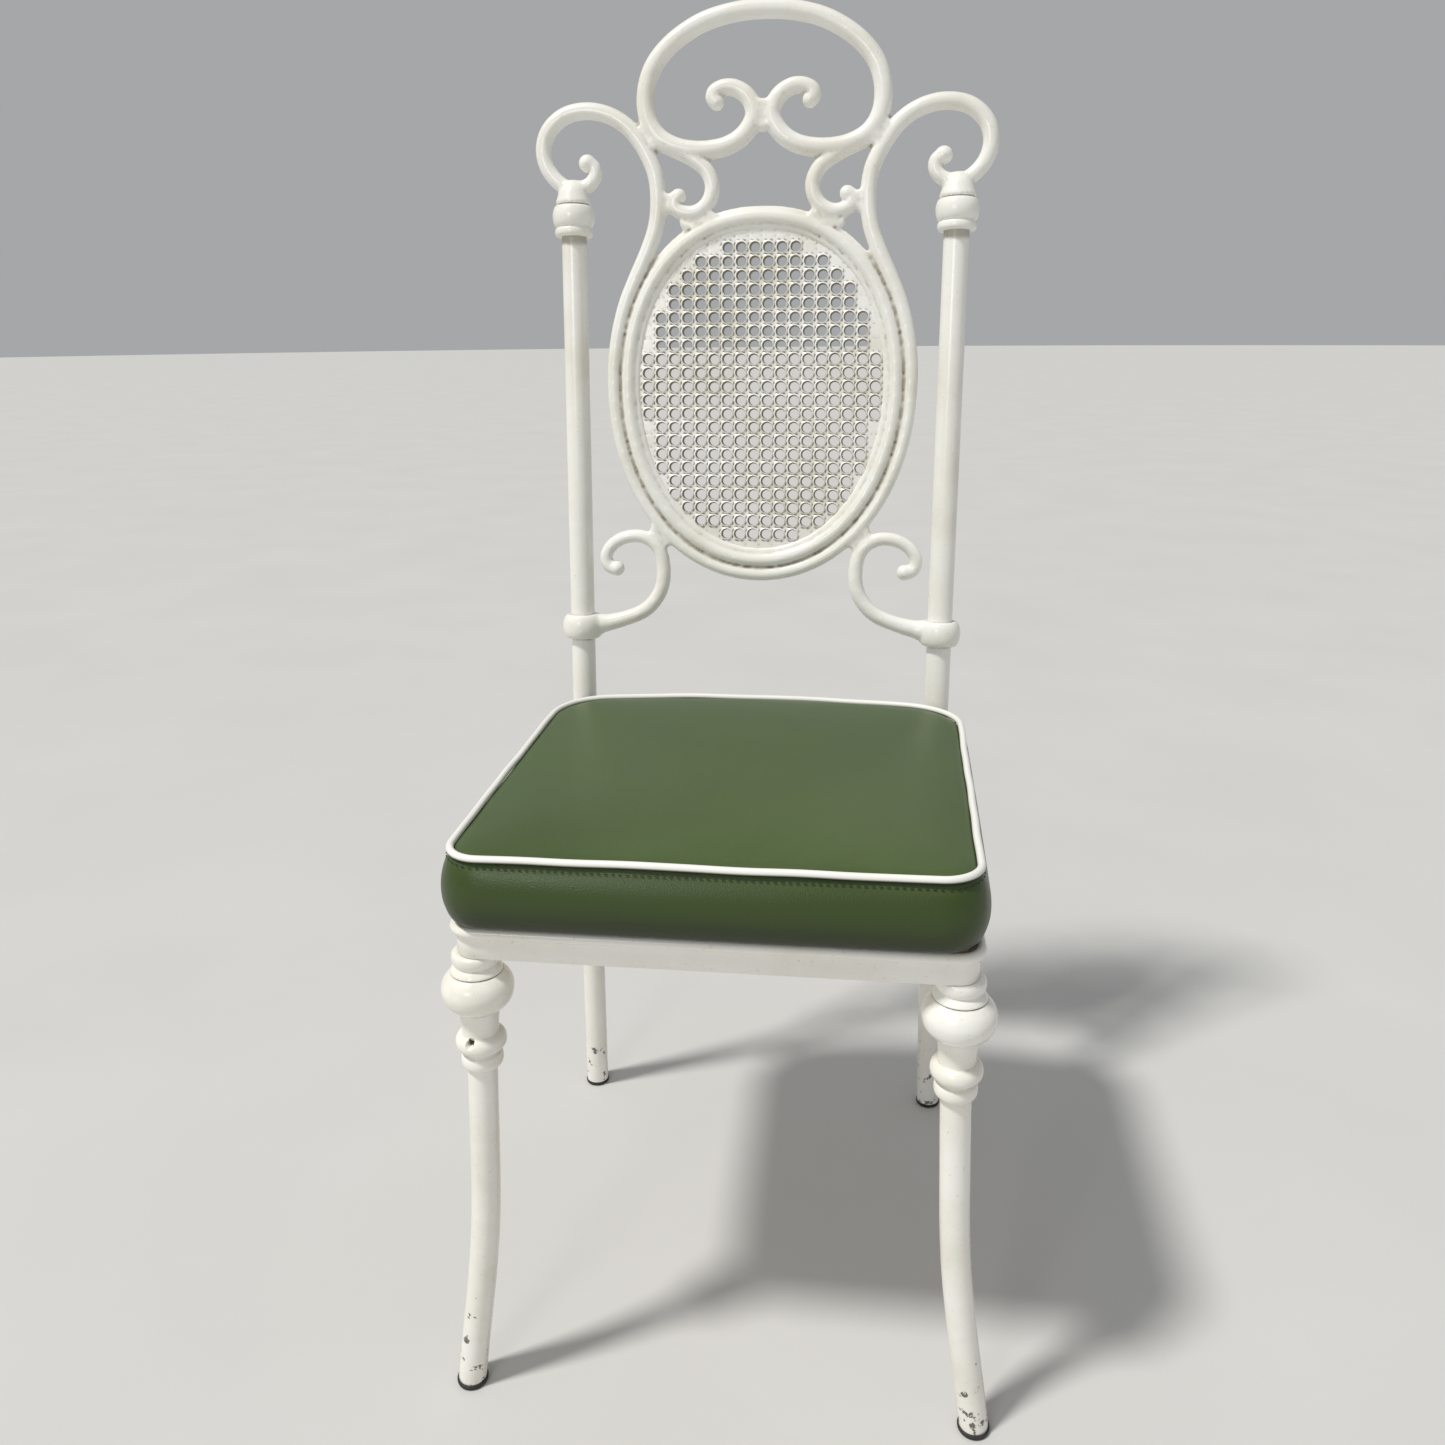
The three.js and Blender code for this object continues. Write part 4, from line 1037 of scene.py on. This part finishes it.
GREEN_VINYL = vinyl("green_vinyl", (0.034, 0.058, 0.009, 1), (0.066, 0.104, 0.030, 1), 0.33, 0.3)
WHITE_VINYL = vinyl("white_vinyl", (0.80, 0.79, 0.74, 1), (0.84, 0.83, 0.79, 1), 0.33, 0.15)
print("vinyls:", GREEN_VINYL.name, WHITE_VINYL.name)

# %% [markdown]
# ## The cushion
# The cushion is a foam block in a vinyl cover: a top panel and a side band, called boxing, sewn together
# with piping between them. Foam pushes the vinyl out between the seams. So a slightly slim closed form is
# worked out first, its seam and its base are held, and a cloth simulation with pressure inside blows
# the rest out. No point may move more than a few millimetres, which keeps the cushion its own size.

# %% The slim form
SEAM_Z = PIPING_LOW + 4.0
BASE_Z = FRAME_TOP + 1.0
CROWN, BELLY = 6.0, 8.4
CREEP, SEAT_MIDDLE = 0.0125, 140
PLAN = dict(front_corner=(157, 4.5), front_r=26, rear_corner=(133, 292), rear_r=54)


def settle(points):
    """The cover has crept round on its foam: x moves by a share of the distance from the seat's middle."""
    points = np.array(points, float)
    points[..., 0] += CREEP * (points[..., 1] - LEG_Y - SEAT_MIDDLE)
    return points


def cushion_part(count=260):
    """Rings from the middle of the base, out along it, up the boxing, over the seam and in along the
    top: point = centre + scale (plan + offset outwards - centre), each ring at its own height."""
    points, out = plan(count=count, **PLAN)
    centre = np.array([0, LEG_Y + 172.0])
    rows = [(f, -6.0, BASE_Z) for f in np.linspace(0.02, 0.97, 14)]
    rise = np.linspace(0, 1, 12)
    belly = BELLY * np.sin(np.pi * rise) ** 0.7 + 1.6 - 1.8 * rise
    rows += [(1.0, b, BASE_Z + 0.4 + (SEAM_Z - BASE_Z - 1.4) * r) for b, r in zip(belly, rise)]
    rows += [(1.0, -2.6, SEAM_Z)]
    inwards = np.linspace(0.985, 0.02, 26)
    rows += [(f, -3.0, SEAM_Z + 2 + CROWN * (1 - f**4)) for f in inwards]
    scale, offset, height = np.array(rows).T
    flat = points[None] + out[None] * offset[:, None, None] - centre
    xy = centre + flat * scale[:, None, None]
    z = np.broadcast_to(height[:, None, None], (*xy.shape[:2], 1))
    return skin(settle(np.concatenate([xy, z], -1)))


cushion = new_object("seat_cushion", cushion_part())
print("slim cushion:", len(cushion.data.vertices), "points")

# %% [markdown]
# The pins are a vertex group: full weight on the seam and the base, none elsewhere. After twenty frames
# the shape has settled. Gravity is off, because the foam inside would hold the cover up anyway.

# %% Blow it up
MOST_MOVE = 6.0
FRAMES = 20


def remeshed(piece, voxel):
    change = piece.modifiers.new("remesh", "REMESH")
    change.mode = "VOXEL"
    change.voxel_size = voxel * MM
    change.use_smooth_shade = True
    return applied(piece)


def inflate(piece, pinned):
    """Cloth with pressure for twenty frames, then every point is brought back to within MOST_MOVE of
    where it began."""
    before = point_array(piece.data)
    group = piece.vertex_groups.new(name="pinned")
    group.add(np.flatnonzero(pinned).tolist(), 1.0, "REPLACE")
    cloth = piece.modifiers.new("cloth", "CLOTH")
    settings = cloth.settings
    settings.use_pressure = True
    settings.uniform_pressure_force = 4.0
    settings.vertex_group_mass = "pinned"
    settings.mass = 0.4
    settings.tension_stiffness = 25
    settings.compression_stiffness = 25
    settings.bending_stiffness = 2.0
    settings.effector_weights.gravity = 0
    cloth.point_cache.frame_start = 1
    cloth.point_cache.frame_end = FRAMES
    scene = bpy.context.scene
    for number in range(1, FRAMES + 1):
        scene.frame_set(number)
    applied(piece)
    piece.vertex_groups.clear()
    move = point_array(piece.data) - before
    far = np.linalg.norm(move, axis=1) + 1e-9
    cap = MOST_MOVE * MM
    kept = before + move * np.minimum(1, cap * np.tanh(far / cap) / far)[:, None]
    piece.data.vertices.foreach_set("co", kept.ravel())
    piece.data.update()
    scene.frame_set(1)
    print(f"cushion moved {far.max() / MM:.1f} mm at most, {far.mean() / MM:.1f} mm on average")


# %% The finished cushion
CUSHION_VOXEL = 4.5
remeshed(cushion, CUSHION_VOXEL)
places = point_array(cushion.data) / MM
seam_line = settle(plan(count=800, **PLAN)[0])
reach = np.abs(places[:, None, :2] - seam_line[None, ::8]).sum(-1).min(1)
at_seam = (np.abs(places[:, 2] - SEAM_Z) < 2.6) & (reach < 14)
pinned = (places[:, 2] < BASE_Z + 2.5) | at_seam
inflate(cushion, pinned)
finer = cushion.modifiers.new("finer", "SUBSURF")
finer.levels = finer.render_levels = 1
applied(cushion)
finish_piece(cushion, ["seat_cover", "seat_foam"], GREEN_VINYL, hollow=(0.0, 0.1), rounds=3)

# %% [markdown]
# ## Piping and stitches
# Piping is a cord wrapped in a strip of vinyl and sewn into the seam. Here it is white. It is a rod that
# follows the plan at the seam, with the slight waver of hand sewing. Below it the boxing shows a row of
# stitches. Drawing them in the material would leave them flat, so each is a short bar of thread with few
# faces, repeated round the plan.

# %% Piping
PIPING_Z, PIPING_R = PIPING_LOW + 5.2, 2.8


def piping_part():
    """A rod along the plan, with two slow waves in and out and two up and down."""
    points, out = plan(count=900, **PLAN)
    turn = np.linspace(0, 2 * np.pi, len(points), endpoint=False)
    waver = 0.22 * np.sin(9 * turn + 1) + 0.15 * np.sin(23 * turn + 2)
    lift = 0.25 * np.sin(5 * turn) + 0.2 * np.sin(14 * turn + 1)
    line = points + out * (0.9 + waver)[:, None]
    path = settle(np.column_stack([line, np.full(len(points), PIPING_Z) + lift]))
    return rod(path, PIPING_R, 18, across=(0, 0, 1), wrap=True)


piping = new_object("white_piping", piping_part())
finish_piece(piping, ["seat_piping"], WHITE_VINYL, hollow=(0.5, 1.0))

# %% Stitches under the piping
STITCH_PITCH = 4.2
SEAM_LENGTH = 1190


def stitches_part():
    """One stitch is a small six-sided bar with tapered ends. Its copies stand at even steps along the
    plan, each turned to the line's direction: place + along u + outwards v + up w."""
    points, out = plan(count=int(SEAM_LENGTH / STITCH_PITCH), **PLAN)
    along = np.stack([-out[:, 1], out[:, 0]], -1)
    angle = np.linspace(0, 2 * np.pi, 6, endpoint=False)
    u = np.array([-1.4, -1.0, 1.0, 1.4])[:, None] + 0 * angle
    r = np.array([0.12, 0.42, 0.42, 0.12])[:, None]
    bar, faces = skin(np.stack([u, r * np.cos(angle), r * np.sin(angle)], -1))
    centre = points + out * 3.4
    xy = centre[:, None] + along[:, None] * bar[None, :, :1] + out[:, None] * bar[None, :, 1:2]
    z = np.broadcast_to(PIPING_LOW - 0.4 + bar[None, :, 2:], (*xy.shape[:2], 1))
    shapes = settle(np.concatenate([xy, z], -1))
    step = len(bar)
    every = [[v + k * step for v in face] for k in range(len(points)) for face in faces]
    return shapes.reshape(-1, 3), every


THREAD = vinyl("green_thread", (0.020, 0.034, 0.008, 1), (0.04, 0.06, 0.02, 1), 0.6, 0.1)
stitches = new_object("stitches", stitches_part())
finish_piece(stitches, [], THREAD, hollow=(0.5, 1.0))

# %% [markdown]
# ## Glides, fasteners and the seat board
# The glides are thin black discs pushed into the tubes' ends, so they are turned like the leg's rings.
# Plates, screws, bolts and the board are seldom seen and the CAD already has their shapes. They stay as
# they are and only get a finish: paint, dull zinc or birch plywood.

# %% Finishes for the small parts
def plain_material(name, colour, other, scale, roughness, metallic=0.0, bump=0.2):
    """A quiet two-colour finish with a fine bump, for parts that are seldom seen."""
    material, wiring, shader, coordinates = new_material(name)
    cloud = wiring.noise(coordinates, scale, 4.0, 0.6)
    mottled = wiring.mix(wiring.ramp(cloud, 0.35, 0.68), colour, other)
    wiring.tree.links.new(mottled, shader.inputs["Base Color"])
    rough = wiring.math("ADD", roughness, wiring.math("MULTIPLY", cloud, 0.2))
    wiring.tree.links.new(rough, shader.inputs["Roughness"])
    normal = wiring.node("ShaderNodeBump", {"Height": wiring.noise(coordinates, scale * 9, 3.0, 0.6),
                                            "Strength": bump, "Distance": 0.0005})
    wiring.tree.links.new(normal, shader.inputs["Normal"])
    shader.inputs["Metallic"].default_value = metallic
    return material


def plywood_material():
    """Long streaks: noise that is squeezed across the grain and stretched along it."""
    material, wiring, shader, coordinates = new_material("birch_ply")
    streaks = wiring.node("ShaderNodeMapping", {"Vector": coordinates, "Scale": (9.0, 1.2, 30.0)})
    band = wiring.noise(streaks, 14.0, 5.0, 0.6)
    wood = wiring.mix(band, (0.42, 0.27, 0.13, 1), (0.62, 0.44, 0.25, 1))
    wiring.tree.links.new(wood, shader.inputs["Base Color"])
    shader.inputs["Roughness"].default_value = 0.62
    normal = wiring.node("ShaderNodeBump", {"Height": band, "Strength": 0.25, "Distance": 0.0004})
    wiring.tree.links.new(normal, shader.inputs["Normal"])
    return material


GLIDE_RUBBER = plain_material("black_rubber", (0.012, 0.012, 0.011, 1), (0.035, 0.033, 0.03, 1), 120, 0.55)
ZINC = plain_material("zinc_plate", (0.42, 0.42, 0.4, 1), (0.3, 0.26, 0.2, 1), 140, 0.3, metallic=1.0)
PLY = plywood_material()
print("finishes:", GLIDE_RUBBER.name, ZINC.name, PLY.name)

# %% The glides
GLIDE = [[4, 0.0], [10.6, 0.0], [11.7, 0.4], [12.2, 1.4], [12.2, 4.0], [11.4, 4.6], [4, 4.7]]

for end, foot in (("front", FRONT_FOOT), ("rear", REAR_FOOT)):
    for label, side in (("left", -1), ("right", 1)):
        shape = placed(turned(GLIDE, 48), side * abs(foot[0]), foot[1])
        disc = new_object(f"{label}_{end}_disc", shape)
        finish_piece(disc, [f"{label}_{end}_glide"], GLIDE_RUBBER, hollow=(0.5, 1.0))

# %% CAD parts that only need a finish
FINISH = {"plate": FRAME_ENAMEL, "spacer": FRAME_ENAMEL, "seat_board": PLY, "screw": ZINC, "bolt": ZINC,
          "plug": ZINC, "stud": ZINC}
for name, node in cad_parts.items():
    for word, material in FINISH.items():
        if word in name:
            node.data.materials.clear()
            node.data.materials.append(material)
            print(f"{name}: {material.name}")

# %% [markdown]
# ## Floor and light
# The stage is a plain pale floor that runs to the horizon. The main light is a hazy sun, high up and from
# the left and front, so the top of the cushion is bright and the shadow falls back to the right with a
# soft edge. A small, weak light in front, like a window, puts a highlight on the round members. An even
# grey sky opens the shadows.

# %% The floor
FLOOR_R = 40000


def pale_floor():
    ring = np.linspace(0, 2 * np.pi, 64, endpoint=False)
    disc = np.stack([FLOOR_R * np.cos(ring), FLOOR_R * np.sin(ring), 0 * ring], -1)
    floor = new_object("floor", (disc, [list(range(64))]))
    material, wiring, shader, coordinates = new_material("pale_floor")
    cloud = wiring.noise(coordinates, 3.0, 4.0, 0.5)
    grey = wiring.mix(cloud, (0.56, 0.555, 0.54, 1), (0.62, 0.615, 0.6, 1))
    wiring.tree.links.new(grey, shader.inputs["Base Color"])
    shader.inputs["Roughness"].default_value = 0.75
    floor.data.materials.append(material)


pale_floor()
print("floor radius", FLOOR_R * MM, "m")


# %% Lights and sky
def soft_light(name, position, aim, size, power):
    data = bpy.data.lights.new(name, "AREA")
    data.shape = "DISK"
    data.size = size
    data.energy = power
    light = bpy.data.objects.new(name, data)
    light.location = position
    light.rotation_euler = (Vector(aim) - Vector(position)).to_track_quat("-Z", "Y").to_euler()
    bpy.context.scene.collection.objects.link(light)


def hazy_sun(name, way, power, angle, colour):
    data = bpy.data.lights.new(name, "SUN")
    data.energy = power
    data.angle = np.radians(angle)
    data.color = colour
    light = bpy.data.objects.new(name, data)
    light.rotation_euler = Vector(way).to_track_quat("-Z", "Y").to_euler()
    bpy.context.scene.collection.objects.link(light)


hazy_sun("key", (0.46, 0.32, -1.0), power=2.6, angle=7, colour=(1.0, 0.985, 0.95))
soft_light("window", (-0.9, -2.6, 1.55), aim=(0, -0.2, 0.45), size=0.7, power=11)
world = bpy.data.worlds.new("sky")
world.use_nodes = True
sky = world.node_tree.nodes["Background"]
sky.inputs["Color"].default_value = (0.80, 0.82, 0.84, 1)
sky.inputs["Strength"].default_value = 0.47
bpy.context.scene.world = world
bpy.context.scene.view_settings.view_transform = "Standard"
print("lights:", [light.name for light in bpy.data.lights])
